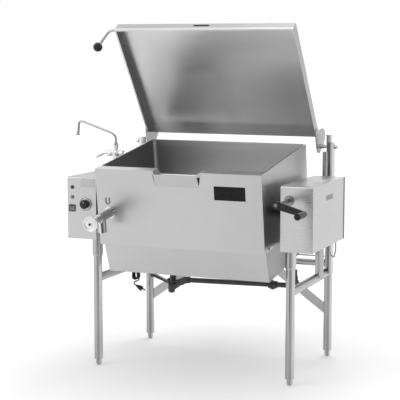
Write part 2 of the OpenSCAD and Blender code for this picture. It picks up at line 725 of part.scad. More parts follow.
// Draw-off valve, on the pan's front
bonnet_d = 36;
bonnet_t = 20;
packing_d = 25;
packing_t = 12;
valve_flange_d = 56;
outlet_s = 93;
outlet_z = 68;
stem_d = 12;
wheel_s = 196;
wheel_t = 8;
plug_t = 12;
plug_s = 40;
module at_valve() in_pan() translate([-valve_x, 0, -valve_drop]) children();
module valve_body() color("gainsboro") at_valve() difference() {
    union() {
        bar_y(valve_d, -valve_reach, tank_front);
        bar_y(valve_flange_d, -flange_t / 2, 0);
        rotate([90, 0, 0]) cylinder(d = bonnet_d, h = valve_reach + bonnet_t, $fn = 6);
        rotate([90, 0, 0]) cylinder(d1 = packing_d * 1.1, d2 = packing_d,
            h = valve_reach + bonnet_t + packing_t);
        translate([0, -outlet_s, 0]) bar_z(valve_d, -outlet_z, 0);
    }
    bar_y(valve_bore, -valve_reach + flange_t, tank_front + eps);
    translate([0, -outlet_s, 0]) bar_z(valve_bore, -outlet_z - eps, 0);
    bar_y(stem_d + 2 * run, -valve_reach - bonnet_t - packing_t - eps, 0);
}
module valve_plug() color("dimgray") at_valve() difference() {
    bar_y(valve_bore - 2 * run, -plug_s, -plug_s + plug_t);
    bar_y(stem_d + 2 * free, -plug_s - eps, -plug_s + plug_t - skin_t);
}
wheel_dish = 5;
stem_lap = 1;
module valve_wheel() color("gainsboro") at_valve() {
    bar_y(stem_d, -wheel_s - wheel_t - wheel_dish, -plug_s + stem_lap);
    translate([0, -wheel_s, 0]) rotate([90, 0, 0]) rotate_extrude($fn = fine)
        polygon([[0, 0], [wheel_d / 2 - wheel_dish, 0],
        [wheel_d / 2, wheel_dish / 2], [wheel_d / 2, wheel_t], [wheel_d / 2 - wheel_dish, wheel_t],
        [wheel_d / 2 - wheel_dish * 2, wheel_dish], [stem_d * 0.85, wheel_dish],
            [stem_d * 0.65, wheel_t], [0, wheel_t]]);
}
hook_d = 5;
hook_w = 23;
hook_h = 34;
hook_in = 54.5;
hook_drop = 152;
hook_x = pan_w / 2 - hook_in;
module strainer_hook() color("gray") in_pan() translate([-hook_x, -hook_d / 2, -hook_drop]) {
    for (sx = [-1, 1]) translate([sx * (hook_w - hook_d) / 2, 0, 0]) bar_z(hook_d, -hook_d, hook_h / 2);
    translate([0, 0, -hook_d]) rotate([90, 0, 0]) rotate([0, 0, 180]) rotate_extrude(angle = 180)
        translate([(hook_w - hook_d) / 2, 0]) circle(d = hook_d);
}

// Lid: shell, hinge plates, handle
lid_rise = 21.8;
lid_ahead = pin_back - (trunnion_y - pan_ahead + pan_depth - lid_short);
lid_hem = 8;
module lid() color("silver") on_hinge() difference() {
    y1 = -lid_ahead;
    y0 = y1 - lid_depth;
    block([-lid_w / 2, lid_w / 2], [y0, y1], [lid_rise - lid_flange, lid_rise]);
    block([-lid_w / 2 + lid_sheet, lid_w / 2 - lid_sheet], [y0 + lid_sheet, y1 - lid_sheet],
        [lid_rise - lid_flange + lid_sheet, lid_rise - lid_sheet]);
    block([-lid_w / 2 + lid_hem, lid_w / 2 - lid_hem], [y0 + lid_hem, y1 - lid_sheet],
        [lid_rise - lid_flange - eps, lid_rise - lid_flange + lid_sheet + eps]);
}
// Outline of a hinge plate about its pin, in shares of its height, lid closed
plate_h = 146;
plate_shares = [[-0.72, -0.15], [-0.72, 0.04], [-0.6, 0.09], [-0.53, 0.225], [-0.44, 0.393],
    [-0.351, 0.518], [-0.247, 0.604], [-0.137, 0.644], [-0.014, 0.631], [0.075, 0.565],
    [0.125, 0.43], [0.152, 0.279], [0.152, 0.11], [0.147, -0.051], [0.127, -0.18],
    [0.074, -0.284], [-0.008, -0.339], [-0.108, -0.355], [-0.286, -0.327], [-0.505, -0.27]];
module hinge_plate(side) color("silver") on_hinge() on_side(side) difference() {
    translate([lid_w / 2, 0, 0]) rotate([90, 0, 90]) linear_extrude(plate_t)
        polygon(plate_h * plate_shares);
    bar_x(pin_d + 2 * run, lid_w / 2 - eps, lid_w / 2 + plate_t + eps);
}
handle_root = 12;
handle_out = 34;
handle_len = 100.3;
handle_bend = handle_len * [-0.628, 0.632, -0.453];
module at_handle() on_hinge() translate([-lid_w / 2, -lid_ahead - lid_depth + handle_root,
    lid_rise - lid_flange + handle_root]) children();
function handle_path() = let (a = [-handle_out, 0, 0], b = a + handle_bend, u = unit(handle_bend),
    r = handle_out * 0.55)
    concat([[0, 0, 0], [-handle_out + r, 0, 0]],
        [for (i = [1 : 5]) let (t = i / 6)
            (1 - t) * (1 - t) * [-handle_out + r, 0, 0] + 2 * t * (1 - t) * a + t * t * (a + r * u)],
        [a + r * u, b - u * ball_d / 2 * 0.9]);
module lid_handle() color("silver") at_handle() {
    sweep(handle_path(), rod_d, 16);
}
module lid_ball() color([0.1, 0.1, 0.1]) at_handle() translate([-handle_out, 0, 0] + handle_bend)
    difference() {
    sphere(d = ball_d, $fn = 40);
    u = unit(handle_bend);
    rotate([0, acos(-u[2]), atan2(-u[1], -u[0])]) bar_z(rod_d + 2 * seat, ball_d * 0.44, ball_d);
}

// Faucet on the left console
column_d = 34;
column_base_d = 54;
body_d = 33;
body_left = 50;
body_right = 46;
body_dome = 7;
body_neck = 4;
riser_d = 25;
riser_up = 41;
riser_z = faucet_z + riser_up;
nut_h = 9;
hub_len = 18;
hub_stem_d = 12;
module at_faucet() machine() translate([-faucet_x, faucet_y, 0]) children();
// One arm of the body, turned: a neck beside the middle, a barrel, and a domed end
module faucet_arm(len) rotate_extrude($fn = fine)
    polygon([[0, 0], [body_d / 2, 0], [body_d / 2, body_d * 0.4],
    [body_d / 2 - body_neck, body_d * 0.5], [body_d / 2 - body_neck, body_d * 0.6],
        [body_d / 2, body_d * 0.7],
    [body_d / 2, len - body_dome], [body_d * 0.4, len - body_dome * 0.4], [body_d * 0.26, len], [0, len]]);
module faucet_body() color("gainsboro") at_faucet() difference() {
    union() {
        rotate_extrude($fn = fine) polygon([[0, console_top], [column_base_d / 2, console_top],
            [column_base_d / 2, console_top + flange_t / 2], [column_base_d * 0.42, console_top + flange_t],
            [column_d / 2, console_top + flange_t * 1.6], [column_d / 2, faucet_z], [0, faucet_z]]);
        translate([0, 0, faucet_z]) {
            rotate([0, 90, 0]) faucet_arm(body_right);
            rotate([0, -90, 0]) faucet_arm(body_left);
            sphere(d = body_d * 1.22, $fn = 32);
            bar_x(hub_stem_d, -body_left - hub_len, body_right + hub_len);
        }
        bar_z(riser_d, faucet_z, riser_z - nut_h);
        bar_z(riser_d * 1.12, riser_z - nut_h, riser_z);
    }
    bar_z(spout_d + 2 * run, riser_z - riser_d, riser_z + eps);
}
spout_knee_up = 8;
spout_slope = 0.333;
spout_lean = 5;
spout_round = 28;
aerator_h = 9;
function fillet(a, b, c, r, n = 6) = let (p = b + unit(a - b) * r, q = b + unit(c - b) * r)
    [for (i = [0 : n]) let (t = i / n) (1 - t) * (1 - t) * p + 2 * t * (1 - t) * b + t * t * q];
module spout() color("gainsboro") at_faucet() {
    low = [0, 0, riser_z - riser_d + free];
    knee = [0, 0, spout_z + spout_knee_up];
    top = [-spout_reach + spout_lean, 0, spout_z + spout_knee_up + (spout_reach - spout_lean) * spout_slope];
    tip = [-spout_reach, 0, spout_z + aerator_h / 2];
    sweep(concat([low], fillet(low, knee, top, spout_round), fillet(knee, top, tip, spout_round), [tip]),
        spout_d, 16);
    translate([-spout_reach, 0, spout_z]) rotate_extrude()
        polygon([[0, 0], [spout_d * 0.75, 0], [spout_d * 0.85, aerator_h * 0.2],
        [spout_d * 0.85, aerator_h * 0.8], [spout_d * 0.62, aerator_h],
            [spout_d * 0.62, aerator_h * 2.4], [0, aerator_h * 2.4]]);
    bar_z(riser_d, riser_z + run * 2, riser_z + flange_t);
}
lever_out = 50;
lever_ahead = 30;
lever_fall = 23;
lever_root_d = 14;
lever_tip_d = 7;
// One tapered arm with a rounded tip, drawn along +Z
module lever_arm(len) rotate_extrude($fn = 40) polygon(concat([[0, 0], [lever_root_d * 0.3, 0],
    [lever_root_d * 0.36, len * 0.2], [lever_root_d / 2, len * 0.34], [lever_root_d * 0.47, len * 0.5],
    [lever_tip_d / 2, len - lever_tip_d / 2]], [for (a = [15 : 15 : 75])
    [lever_tip_d / 2 * cos(a), len - lever_tip_d / 2 + lever_tip_d / 2 * sin(a)]], [[0, len]]));
module lever(x, sx, turn) color("gainsboro") at_faucet() translate([x, 0, faucet_z])
    rotate([turn, 0, 0]) difference() {
    union() {
        bar_x(hub_stem_d * 1.4, sx > 0 ? free : -hub_len - free, sx > 0 ? hub_len + free : -free);
        translate([sx * hub_len / 2, 0, 0])
            along_way([sx * (lever_out - hub_len / 2), -lever_ahead, -lever_fall])
            lever_arm(norm([lever_out - hub_len / 2, lever_ahead, lever_fall]));
    }
    bar_x(hub_stem_d + 2 * run, -hub_len - free / 2, hub_len + free / 2);
}

// Controls on the left console's front
knob_t = 24;
dial_t = 2;
module at_panel(x, z) machine() translate([-x, -console_front, z]) children();
grip_flats = 12;
module knob() color([0.12, 0.12, 0.13]) at_panel(knob_x, knob_z) difference() {
    union() {
        translate([0, -dial_t - free, 0]) bar_y(knob_d, -knob_t * 0.4, 0);
        translate([0, -dial_t - free, 0]) bar_y(knob_d * 0.8, -knob_t, 0);
        bar_y(knob_shaft_d, -dial_t * 2, console_sheet + flange_t);
    }
    for (i = [0 : grip_flats - 1]) rotate([0, i * 360 / grip_flats, 0])
        translate([knob_d * 0.43, -dial_t - free, 0])
        bar_y(knob_d * 0.1, -knob_t - eps, -knob_t * 0.5);
}
dial_rim = 3.5;
dial_rim_w = 4;
module dial() color("gainsboro") at_panel(knob_x, knob_z) rotate([90, 0, 0]) rotate_extrude($fn = fine)
    polygon([[knob_shaft_d / 2 + free, 0], [dial_d / 2, 0], [dial_d / 2, dial_t],
        [dial_d / 2 - dial_rim_w * 0.3, dial_rim], [dial_d / 2 - dial_rim_w * 0.7, dial_rim],
        [dial_d / 2 - dial_rim_w, dial_t], [knob_shaft_d / 2 + free, dial_t]]);
rocker_t = 5;
switch_r = 4;
module switch_frame() color([0.2, 0.2, 0.2]) at_panel(switch_x, switch_z) difference() {
    union() {
        rotate([90, 0, 0]) upright_box(switch_w / 2, [-switch_w / 2, switch_w / 2],
            [0, console_sheet * 2], switch_r);
        block([-switch_w / 2 + console_sheet + free, switch_w / 2 - console_sheet - free],
            [-console_sheet * 2, switch_w / 2],
            [-switch_w / 2 + console_sheet + free, switch_w / 2 - console_sheet - free]);
    }
    block([-switch_w / 2 + console_sheet * 2.5, switch_w / 2 - console_sheet * 2.5],
        [-console_sheet * 2 - eps, rocker_t * 1.5],
        [-switch_w / 2 + console_sheet * 2.5, switch_w / 2 - console_sheet * 2.5]);
}
rocker_turn = 8;
module switch_rocker() color([0.1, 0.1, 0.1]) at_panel(switch_x, switch_z) rotate([rocker_turn, 0, 0]) {
    w = switch_w / 2 - console_sheet * 2.5 - free;
    block([-w, w], [-rocker_t, rocker_t * 0.4], [-w * 0.86, w * 0.86]);
}
module lamps() color("whitesmoke") for (z = lamp_zs) at_panel(lamp_x, z) {
    bar_y(lamp_d, -rocker_t, console_sheet + flange_t);
    bar_y(lamp_d * 1.35, -dial_t, 0);
}

// Gas line, carried by the rear braces
gas_shares = [-0.727, -0.573, 0.661];
gas_left = gas_shares[0] * leg_x;
gas_knee_x = gas_shares[1] * leg_x;
gas_right = gas_shares[2] * leg_x;
gas_up = rail_z;
gas_rise = 14;
function gas_run(t) = [gas_knee_x + t * (gas_right - gas_knee_x), 0, gas_z + t * gas_rise];
fitting = 1.35;
tee_r = gas_d * fitting / 2;
elbow_share = 0.045;
gas_low = [gas_left, 0, gas_tee_z - gas_d * 0.4];
gas_slant = unit(gas_low - gas_run(0));
module gas_bend(a, b, c) sweep(concat([a], fillet(a, b, c, gas_d * 0.7), [c]), gas_d * fitting, 20);
stub_d = 19;
riser_pipe_d = 21.3;
union_from = 0.768;
union_to = 0.84;
union_lip = 0.018;
cock_d = 9;
cock_rise = 26;
gas_y = leg_y - brace_t / 2 - gas_d * fitting / 2 - seat;
module gas_line() color([0.2, 0.2, 0.21]) machine() translate([0, gas_y, 0]) difference() {
    union() {
        rod(gas_run(elbow_share / 2), gas_run(1 - elbow_share / 2), gas_d);
        gas_bend(gas_run(1 - elbow_share), gas_run(1), gas_run(1) + [0, 0, gas_d]);
        gas_bend(gas_run(elbow_share), gas_run(0), gas_run(0) + gas_d * gas_slant);
        translate([gas_right, 0, 0]) bar_z(riser_pipe_d, gas_run(1)[2] + gas_d * 0.6, gas_up);
        translate(gas_run(1) + [0, 0, gas_d]) bar_z(riser_pipe_d * fitting, -eps, gas_d * 0.8);
        rod(gas_run(union_from), gas_run(union_to), gas_d * fitting * 1.1);
        rod(gas_run(union_from + union_lip), gas_run(union_from + 2 * union_lip), gas_d * fitting * 1.3);
        translate(gas_run((union_from + union_to) / 2)) bar_z(gas_d * 0.7, -gas_d * 0.9, 0);
        rod(gas_run(0) + gas_d * gas_slant * 0.6, gas_low, gas_d);
        translate([gas_left, 0, gas_tee_z]) rotate_extrude($fn = fine) polygon([[0, -gas_d * 1.15],
            [tee_r * 0.55, -gas_d * 1.15], [tee_r * 0.9, -gas_d], [tee_r, -gas_d * 0.75],
            [tee_r, gas_d * 0.5], [tee_r * 0.9, gas_d * 0.6], [0, gas_d * 0.6]]);
        translate([gas_left, 0, 0]) bar_z(stub_d, gas_tee_z, gas_up);
        sweep([[gas_left, 0, gas_tee_z + cock_rise], [gas_left + cock_rise, 0, gas_tee_z + cock_rise * 1.2],
            [gas_knee_x, 0, gas_z + gas_d * 0.4]], cock_d, 12);
    }
    translate([gas_left, 0, 0]) bar_z(stub_d * 0.7, gas_tee_z, gas_up + eps);
}

// Strap that hangs the gas elbow from the rear left leg
strap_t = 9;
strap_w = 22;
strap_up = 16;
strap_rise = 21;
strap_fall = 43;
module gas_hanger() color([0.2, 0.2, 0.21]) machine() translate([0, gas_y + strap_w / 2, 0])
    rotate([90, 0, 0])
    linear_extrude(strap_w) {
        end = [gas_left - stub_d / 2 - seat, gas_tee_z + strap_rise - strap_t / 2];
        root = [-leg_x + leg_d / 2 + seat, end[1] + strap_fall];
        share = strap_t / 2 / (end[0] - root[0]);
        top = root + [0, strap_t] + share * (end - root);
        low = (1 - share) * (root + [0, -strap_t]) + share * end;
        polygon([root + [0, -strap_up], [top[0], root[1] - strap_up], low, end, end + [0, strap_t], top,
            [top[0], root[1] + strap_up], root + [0, strap_up]]);
    }

// Thin conduit across the back, between the two consoles: bends outward of the rear leg's centre,
// behind it and above the rear rail, in shares of its reach
conduit_d = 8;
conduit_reach = 135;
conduit_shares = [[0.03, 0, 0.252], [0.141, -0.007, 0.259], [0.252, -0.104, 0.274],
    [0.326, -0.267, 0.304], [0.385, -0.489, 0.356], [0.437, -0.726, 0.422], [0.496, -0.904, 0.481],
    [0.563, -1.096, 0.57], [0.615, -1.215, 0.681], [0.63, -1.259, 0.793], [0.63, -1.259, 0.978]];
conduit_half = [for (b = conduit_shares) [leg_x, leg_y, rear_rail_z] + conduit_reach * b];
conduit_top = conduit_half[len(conduit_half) - 1];
module conduit() color([0.15, 0.15, 0.15]) machine()
    sweep(concat([[-conduit_top[0], conduit_top[1], console_z]],
    [for (i = [len(conduit_half) - 1 : -1 : 0]) [-conduit_half[i][0], conduit_half[i][1],
        conduit_half[i][2]]],
    conduit_half, [[conduit_top[0], conduit_top[1], console_z]]), conduit_d, 12);

// Mains cord: down from the left console's back into a tied hank, with its plug below
gland_d = 24;
gland_out = 26;
module cord_gland() color([0.12, 0.12, 0.12]) machine() translate([-gland_x, console_back, gland_z])
    difference() {
    rotate([-90, 0, 0]) rotate_extrude($fn = fine)
        polygon([[0, -3 * console_sheet], [gland_bore / 2 - seat, -3 * console_sheet],
        [gland_bore / 2 - seat, 0], [gland_d / 2, 0], [gland_d / 2, gland_out / 4], [cord_d, gland_out],
            [0, gland_out]]);
    bar_y(cord_d + 2 * seat, -4 * console_sheet, gland_out + eps);
}
// Its bends, from the middle of the gland's outer face of the panel
cord_bends = [[0, 2, 0], [0, 26, 0], [0, 35, 0], [1, 45, -3], [3, 54, -10], [7, 60, -21], [12, 62, -36],
    [20, 60, -58], [29, 54, -88], [36, 47, -115], [40, 41, -136], [41, 39, -146], [41, 39, -156]];
cord_route = [for (b = cord_bends) [-gland_x, console_back, gland_z] + b];
module cord() color([0.1, 0.1, 0.1]) machine() sweep(cord_route, cord_d, 8);
// The hank's loops stand side by side, each drawn in at the waist; rings of a loop go up one run,
// over the fold, down the other run and back under
hank_rings = 24;
hank_gap = 0.7;
hank_pitch = cord_d + hank_gap;
hank_r = 2.05 * cord_d;
hank_waist = 0.8 * cord_d;
hank_lead = cord_d * 1.25;
hank_half = (hank_h - cord_d) / 2 - hank_r;
hank_first = 9;
hank_last = hank_first + hank_rings * hank_loops + 3;
function hank_u(t) = hank_waist + (hank_r - hank_waist) * (1 - cos(180 * t)) / 2;
function hank_side(j) = j < 3 ? [hank_u(j / 3), hank_half * j / 3]
    : j <= 9 ? [hank_r * cos((j - 3) * 30), hank_half + hank_r * sin((j - 3) * 30)]
    : [-hank_u((12 - j) / 3), hank_half * (12 - j) / 3];
function hank_ring(i) = let (k = i % hank_rings, s = k < 12 ? 1 : -1, q = s * hank_side(k % 12))
    [hank_pitch * ((i - hank_first) / hank_rings - hank_loops / 2), q[0], q[1]];
hank_body = [for (i = [hank_first : hank_last]) hank_ring(i)];
hank_out = hank_pitch * (hank_loops / 2 + 0.6);
// The tail leaves the last loop, swings back under the hank and ends slantwise, where the plug begins
tail_shares = [[1, -1, -0.5], [1, -1, -1], [1, -1, -1.154], [0.94, -1, -1.404], [0.73, -0.89, -1.601],
    [0.45, -0.54, -1.68],
    [0.18, 0.1, -1.72], [-0.06, 1, -1.786], [-0.176, 1.82, -1.904], [-0.184, 1.9, -2.049],
        [-0.126, 1.32, -2.167],
    [-0.02, 0.2, -2.278]];
tail_drop = 38;
function tail_point(t) = [hank_out * t[0], hank_waist * t[1], t[2] > -1 ? hank_half * t[2]
    : -hank_half + (t[2] + 1) * tail_drop];
hank_path = concat([hank_body[0] + [0, 0, hank_lead]], hank_body, [for (t = tail_shares) tail_point(t)]);
// Where the hank hangs: its lead meets the end of the cord
cord_end = cord_route[len(cord_route) - 1];
module at_hank() machine() translate(cord_end) rotate([0, 0, 90]) translate(-hank_path[0]) children();
hank_fine = [for (i = [0 : len(hank_path) - 2],
    t = [0, 0.5]) (1 - t) * hank_path[i] + t * hank_path[i + 1]];
hank_clear = min([for (i = [0 : len(hank_fine) - 1], j = [i + 12 : 1 : len(hank_fine) - 1])
    norm(hank_fine[i] - hank_fine[j])]) - cord_d;
module hank() {
    echo(hank_least_gap = hank_clear);
    color([0.1, 0.1, 0.1]) at_hank() sweep(hank_path, cord_d, 6);
}
plug_d = 26;
plug_len = 38;
plug_neck = 8;
blade_len = 17;
blade_w = 6.4;
blade_t = 1.6;
blade_gap = 12.7;
plug_way = along(hank_path, len(hank_path) - 1);
module plug() color([0.12, 0.12, 0.12]) at_hank() translate(hank_path[len(hank_path) - 1])
    rotate([0, acos(plug_way[2]), atan2(plug_way[1], plug_way[0])]) {
    rotate_extrude($fn = 40) polygon([[0, 0], [cord_d / 2 + blade_t, 0], [cord_d, plug_neck],
        [plug_d / 2 - blade_t, plug_neck * 2],
        [plug_d / 2, plug_len - plug_neck], [plug_d / 2, plug_len], [0, plug_len]]);
    for (sx = [-1, 1]) translate([sx * blade_gap / 2, 0, plug_len + blade_len / 2])
        cube([blade_t, blade_w, blade_len], center = true);
    translate([0, blade_gap * 0.8, 0]) bar_z(blade_w * 0.75, plug_len, plug_len + blade_len * 1.1);
}

feet();
leg(-leg_x, -leg_y, console_z);  // leg_front_left
leg(leg_x, -leg_y, console_z);  // leg_front_right
leg(-leg_x, leg_y, rear_leg_top);  // leg_rear_left
leg(leg_x, leg_y, rear_leg_top);  // leg_rear_right
leg_socket(-1);  // leg_socket_left
leg_socket(1);  // leg_socket_right
side_frame(-1);  // side_frame_left
side_frame(1);  // side_frame_right
rear_rail();
brace(-1);  // brace_left
brace(1);  // brace_right
lid_post(-1);  // lid_post_left
lid_post(1);  // lid_post_right
hinge_pins();
lid_balance();
console_left();
console_left_back();
console_right();
console_right_back();
trunnion_bearing(-1);  // bearing_left
trunnion_bearing(1);  // bearing_right
worm_bracket();
crank_escutcheon();
crank_shaft();
crank_arm();
crank_grip();
trunnion(-1);  // trunnion_left
trunnion(1);  // trunnion_right
tank();
pan_skin();
pour_lip();
burner_box();
burners();
valve_body();
valve_plug();
valve_wheel();
strainer_hook();
lid();
hinge_plate(-1);  // hinge_plate_left
hinge_plate(1);  // hinge_plate_right
lid_handle();
lid_ball();
faucet_body();
spout();
lever(-body_left, -1, 0);  // lever_left
lever(body_right, 1, 0);  // lever_right
knob();
dial();
switch_frame();
switch_rocker();
lamps();
gas_line();
gas_hanger();
conduit();
cord_gland();
cord();
hank();
plug();
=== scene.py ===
# A tilting bratt pan on open legs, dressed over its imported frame. Metres, +Z up, front towards -Y.
import math

import bmesh
import bpy
from mathutils import Matrix, Vector


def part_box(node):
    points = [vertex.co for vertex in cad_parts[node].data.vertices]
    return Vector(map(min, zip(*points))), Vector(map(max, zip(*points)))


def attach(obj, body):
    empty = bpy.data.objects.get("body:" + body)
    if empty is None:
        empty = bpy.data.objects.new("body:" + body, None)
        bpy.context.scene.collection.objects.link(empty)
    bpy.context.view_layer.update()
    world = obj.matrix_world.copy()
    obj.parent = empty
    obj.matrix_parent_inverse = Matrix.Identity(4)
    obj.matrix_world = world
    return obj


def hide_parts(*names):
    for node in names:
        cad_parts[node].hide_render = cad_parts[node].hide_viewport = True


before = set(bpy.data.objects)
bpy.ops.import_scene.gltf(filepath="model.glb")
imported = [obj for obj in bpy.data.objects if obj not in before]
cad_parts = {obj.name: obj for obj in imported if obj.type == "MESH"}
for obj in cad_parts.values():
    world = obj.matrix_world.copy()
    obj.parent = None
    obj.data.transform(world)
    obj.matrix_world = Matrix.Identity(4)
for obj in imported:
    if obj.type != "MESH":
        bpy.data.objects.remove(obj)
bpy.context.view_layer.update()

X, Y, Z = 0, 1, 2
RIGHT = Vector((1, 0, 0))
BACK = Vector((0, 1, 0))
UP = Vector((0, 0, 1))

# Middle of the four feet on the floor
low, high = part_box("feet")
MID = Vector(((low[0] + high[0]) / 2, (low[1] + high[1]) / 2, 0.0))


def at(x, y, z):
    """A point given in millimetres about the middle of the feet, as a world point in metres."""
    return MID + Vector((x, y, z)) / 1000


# Moving pieces at rest: how far the pan is tipped and the lid is open, and their axes as y and z
PAN_TIP = math.radians(8.49)
LID_OPEN = math.radians(54.38)
PAN_AXIS = (-130, 776.3)
LID_AXIS = (252, 1051)
# The pan's axis, as y and z behind and above its front edge at the rim
AXIS_IN_PAN = (313.3, -245.5)


def swung(x, y, z, angle, axis):
    """A point y and z from an axis along X, turned about it."""
    c = math.cos(angle)
    s = math.sin(angle)
    return at(x, axis[0] + y * c - z * s, axis[1] + y * s + z * c)


def pan_point(x, y, z):
    """Pan frame: middle of the front edge at the rim, pan level."""
    return swung(x, y - AXIS_IN_PAN[0], z - AXIS_IN_PAN[1], PAN_TIP, PAN_AXIS)


def lid_point(x, y, z):
    """Lid frame: middle of the hinge axis, lid closed."""
    return swung(x, y, z, -LID_OPEN, LID_AXIS)


# Camera, at the photograph's viewing angle
CAMERA_AT = at(2185.1, -5465.5, 1513.8)
CAMERA_YAW = 0.39274
CAMERA_DOWN = 0.12179
CAMERA_ROLL = 0.00092
LENS = 110.09
SENSOR = 36.0

cam_data = bpy.data.cameras.new("camera")
cam_data.lens = LENS
cam_data.sensor_width = SENSOR
cam_data.clip_end = 100
camera = bpy.data.objects.new("camera", cam_data)
bpy.context.scene.collection.objects.link(camera)
aim = Matrix.Rotation(CAMERA_YAW, 4, "Z") @ Matrix.Rotation(math.pi / 2 - CAMERA_DOWN, 4, "X")
camera.matrix_world = Matrix.Translation(CAMERA_AT) @ aim @ Matrix.Rotation(CAMERA_ROLL, 4, "Z")
bpy.context.scene.camera = camera


# Node helpers
def new_material(name):
    m = bpy.data.materials.new(name)
    m.use_nodes = True
    m.node_tree.nodes.clear()
    out = m.node_tree.nodes.new("ShaderNodeOutputMaterial")
    bsdf = m.node_tree.nodes.new("ShaderNodeBsdfPrincipled")
    m.node_tree.links.new(bsdf.outputs[0], out.inputs[0])
    return m, m.node_tree, bsdf


def math_node(tree, op, a, b=None):
    n = tree.nodes.new("ShaderNodeMath")
    n.operation = op
    for i, v in enumerate((a, b)):
        if isinstance(v, (int, float)):
            n.inputs[i].default_value = v
        elif v is not None:
            tree.links.new(v, n.inputs[i])
    return n.outputs[0]


def blend(tree, fac, a, b):
    """A value: a where fac is 0, b where it is 1."""
    keep = math_node(tree, "SUBTRACT", 1.0, fac)
    return math_node(tree, "ADD", math_node(tree, "MULTIPLY", a, keep), math_node(tree, "MULTIPLY", b, fac))


def mixed(tree, fac, a, b):
    """A colour: a where fac is 0, b where it is 1. Each is a tuple or another node's colour."""
    n = tree.nodes.new("ShaderNodeMix")
    n.data_type = "RGBA"
    tree.links.new(fac, n.inputs[0])
    for i, colour in ((6, a), (7, b)):
        if isinstance(colour, tuple):
            n.inputs[i].default_value = (*colour, 1)
        else:
            tree.links.new(colour, n.inputs[i])
    return n.outputs[2]


def component(tree, vector, axis):
    n = tree.nodes.new("ShaderNodeSeparateXYZ")
    tree.links.new(vector, n.inputs[0])
    return n.outputs[axis]


def vector_node(tree, op, vector, other):
    n = tree.nodes.new("ShaderNodeVectorMath")
    n.operation = op
    n.inputs[1].default_value = other
    tree.links.new(vector, n.inputs[0])
    return n.outputs["Value"]


def noise(tree, vector, scale, stretch=(1, 1, 1), detail=2.0, rough=0.5):
    mp = tree.nodes.new("ShaderNodeMapping")
    mp.inputs["Scale"].default_value = stretch
    tree.links.new(vector, mp.inputs["Vector"])
    n = tree.nodes.new("ShaderNodeTexNoise")
    n.inputs["Scale"].default_value = scale
    n.inputs["Detail"].default_value = detail
    n.inputs["Roughness"].default_value = rough
    tree.links.new(mp.outputs[0], n.inputs["Vector"])
    return n.outputs["Fac"]


def ramp(tree, fac, start, end, a, b):
    """A value that goes from a to b while fac goes from start to end."""
    n = tree.nodes.new("ShaderNodeMapRange")
    n.inputs["From Min"].default_value = start
    n.inputs["From Max"].default_value = end
    n.inputs["To Min"].default_value = a
    n.inputs["To Max"].default_value = b
    tree.links.new(fac, n.inputs["Value"])
    return n.outputs[0]


def bump(tree, height, strength, distance, radius):
    """Relief over edges rounded to a radius."""
    bevel = tree.nodes.new("ShaderNodeBevel")
    bevel.samples = 4
    bevel.inputs["Radius"].default_value = radius
    n = tree.nodes.new("ShaderNodeBump")
    n.inputs["Strength"].default_value = strength
    n.inputs["Distance"].default_value = distance
    tree.links.new(height, n.inputs["Height"])
    tree.links.new(bevel.outputs[0], n.inputs["Normal"])
    return n.outputs[0]


# Zones, painted light and shade: faces that look a given way get their own share of a material's grey level
SQUARE_ON = (0.75, 0.95)


def zone(way, share, *limits, facing=SQUARE_ON):
    """Facing is how squarely faces look that way at the zone's two edges.

    A limit is an axis, where the zone is full and where it has faded out, from the middle of the feet."""
    return way, share, limits, facing


def tones(level, contrast):
    """The dark and the light grey on the two sides of a level."""
    return (level * (1 - contrast),) * 3, (min(1, level * (1 + contrast)),) * 3


def zoned(t, tc, fac, level, contrast, zones):
    """A colour that wanders between two tones, and takes painted light and shade in each zone."""
    dark, light = tones(level, contrast)
    colour = mixed(t, fac, dark, light)
    for way, share, limits, facing in zones:
        mask = ramp(t, vector_node(t, "DOT_PRODUCT", tc.outputs["Normal"], way), *facing, 0, 1)
        for axis, full, gone in limits:
            place = component(t, tc.outputs["Object"], axis)
            inside = ramp(t, place, MID[axis] + full, MID[axis] + gone, 1, 0)
            mask = math_node(t, "MULTIPLY", mask, inside)
        other = mixed(t, fac, tuple(v * share for v in dark), tuple(min(1, v * share) for v in light))
        colour = mixed(t, mask, colour, other)
    return colour


# Brushed sheet: size of the grain, its stretch along each axis, and the radius that edges seem to have
GRAIN = 900.0
STRETCH = {"X": (0.006, 1, 1), "Y": (1, 0.006, 1), "Z": (1, 1, 0.006)}
SHEET_EDGE = 0.0012
# Least share of a face's normal along X that makes it a side, and along Y that makes it a front
SIDE = 0.72
FRONT = -0.7


def bowed(t, tc, normal, start, foot, top, bow):
    """The normal of a front face that bows back from x = start to its right edge, from foot up to top."""
    past = math_node(t, "SUBTRACT", component(t, tc.outputs["Object"], X), MID.x + start)
    past = math_node(t, "MAXIMUM", past, 0.0)
    fall = math_node(t, "MULTIPLY", math_node(t, "MULTIPLY", past, past), -bow)
    rise = ramp(t, component(t, tc.outputs["Object"], Z), foot, top, 0, 1)
    front = math_node(t, "LESS_THAN", component(t, tc.outputs["Normal"], Y), FRONT)
    n = t.nodes.new("ShaderNodeBump")
    n.inputs["Strength"].default_value = 1.0
    n.inputs["Distance"].default_value = 1.0
    t.links.new(math_node(t, "MULTIPLY", math_node(t, "MULTIPLY", fall, rise), front), n.inputs["Height"])
    t.links.new(normal, n.inputs["Normal"])
    return n.outputs[0]


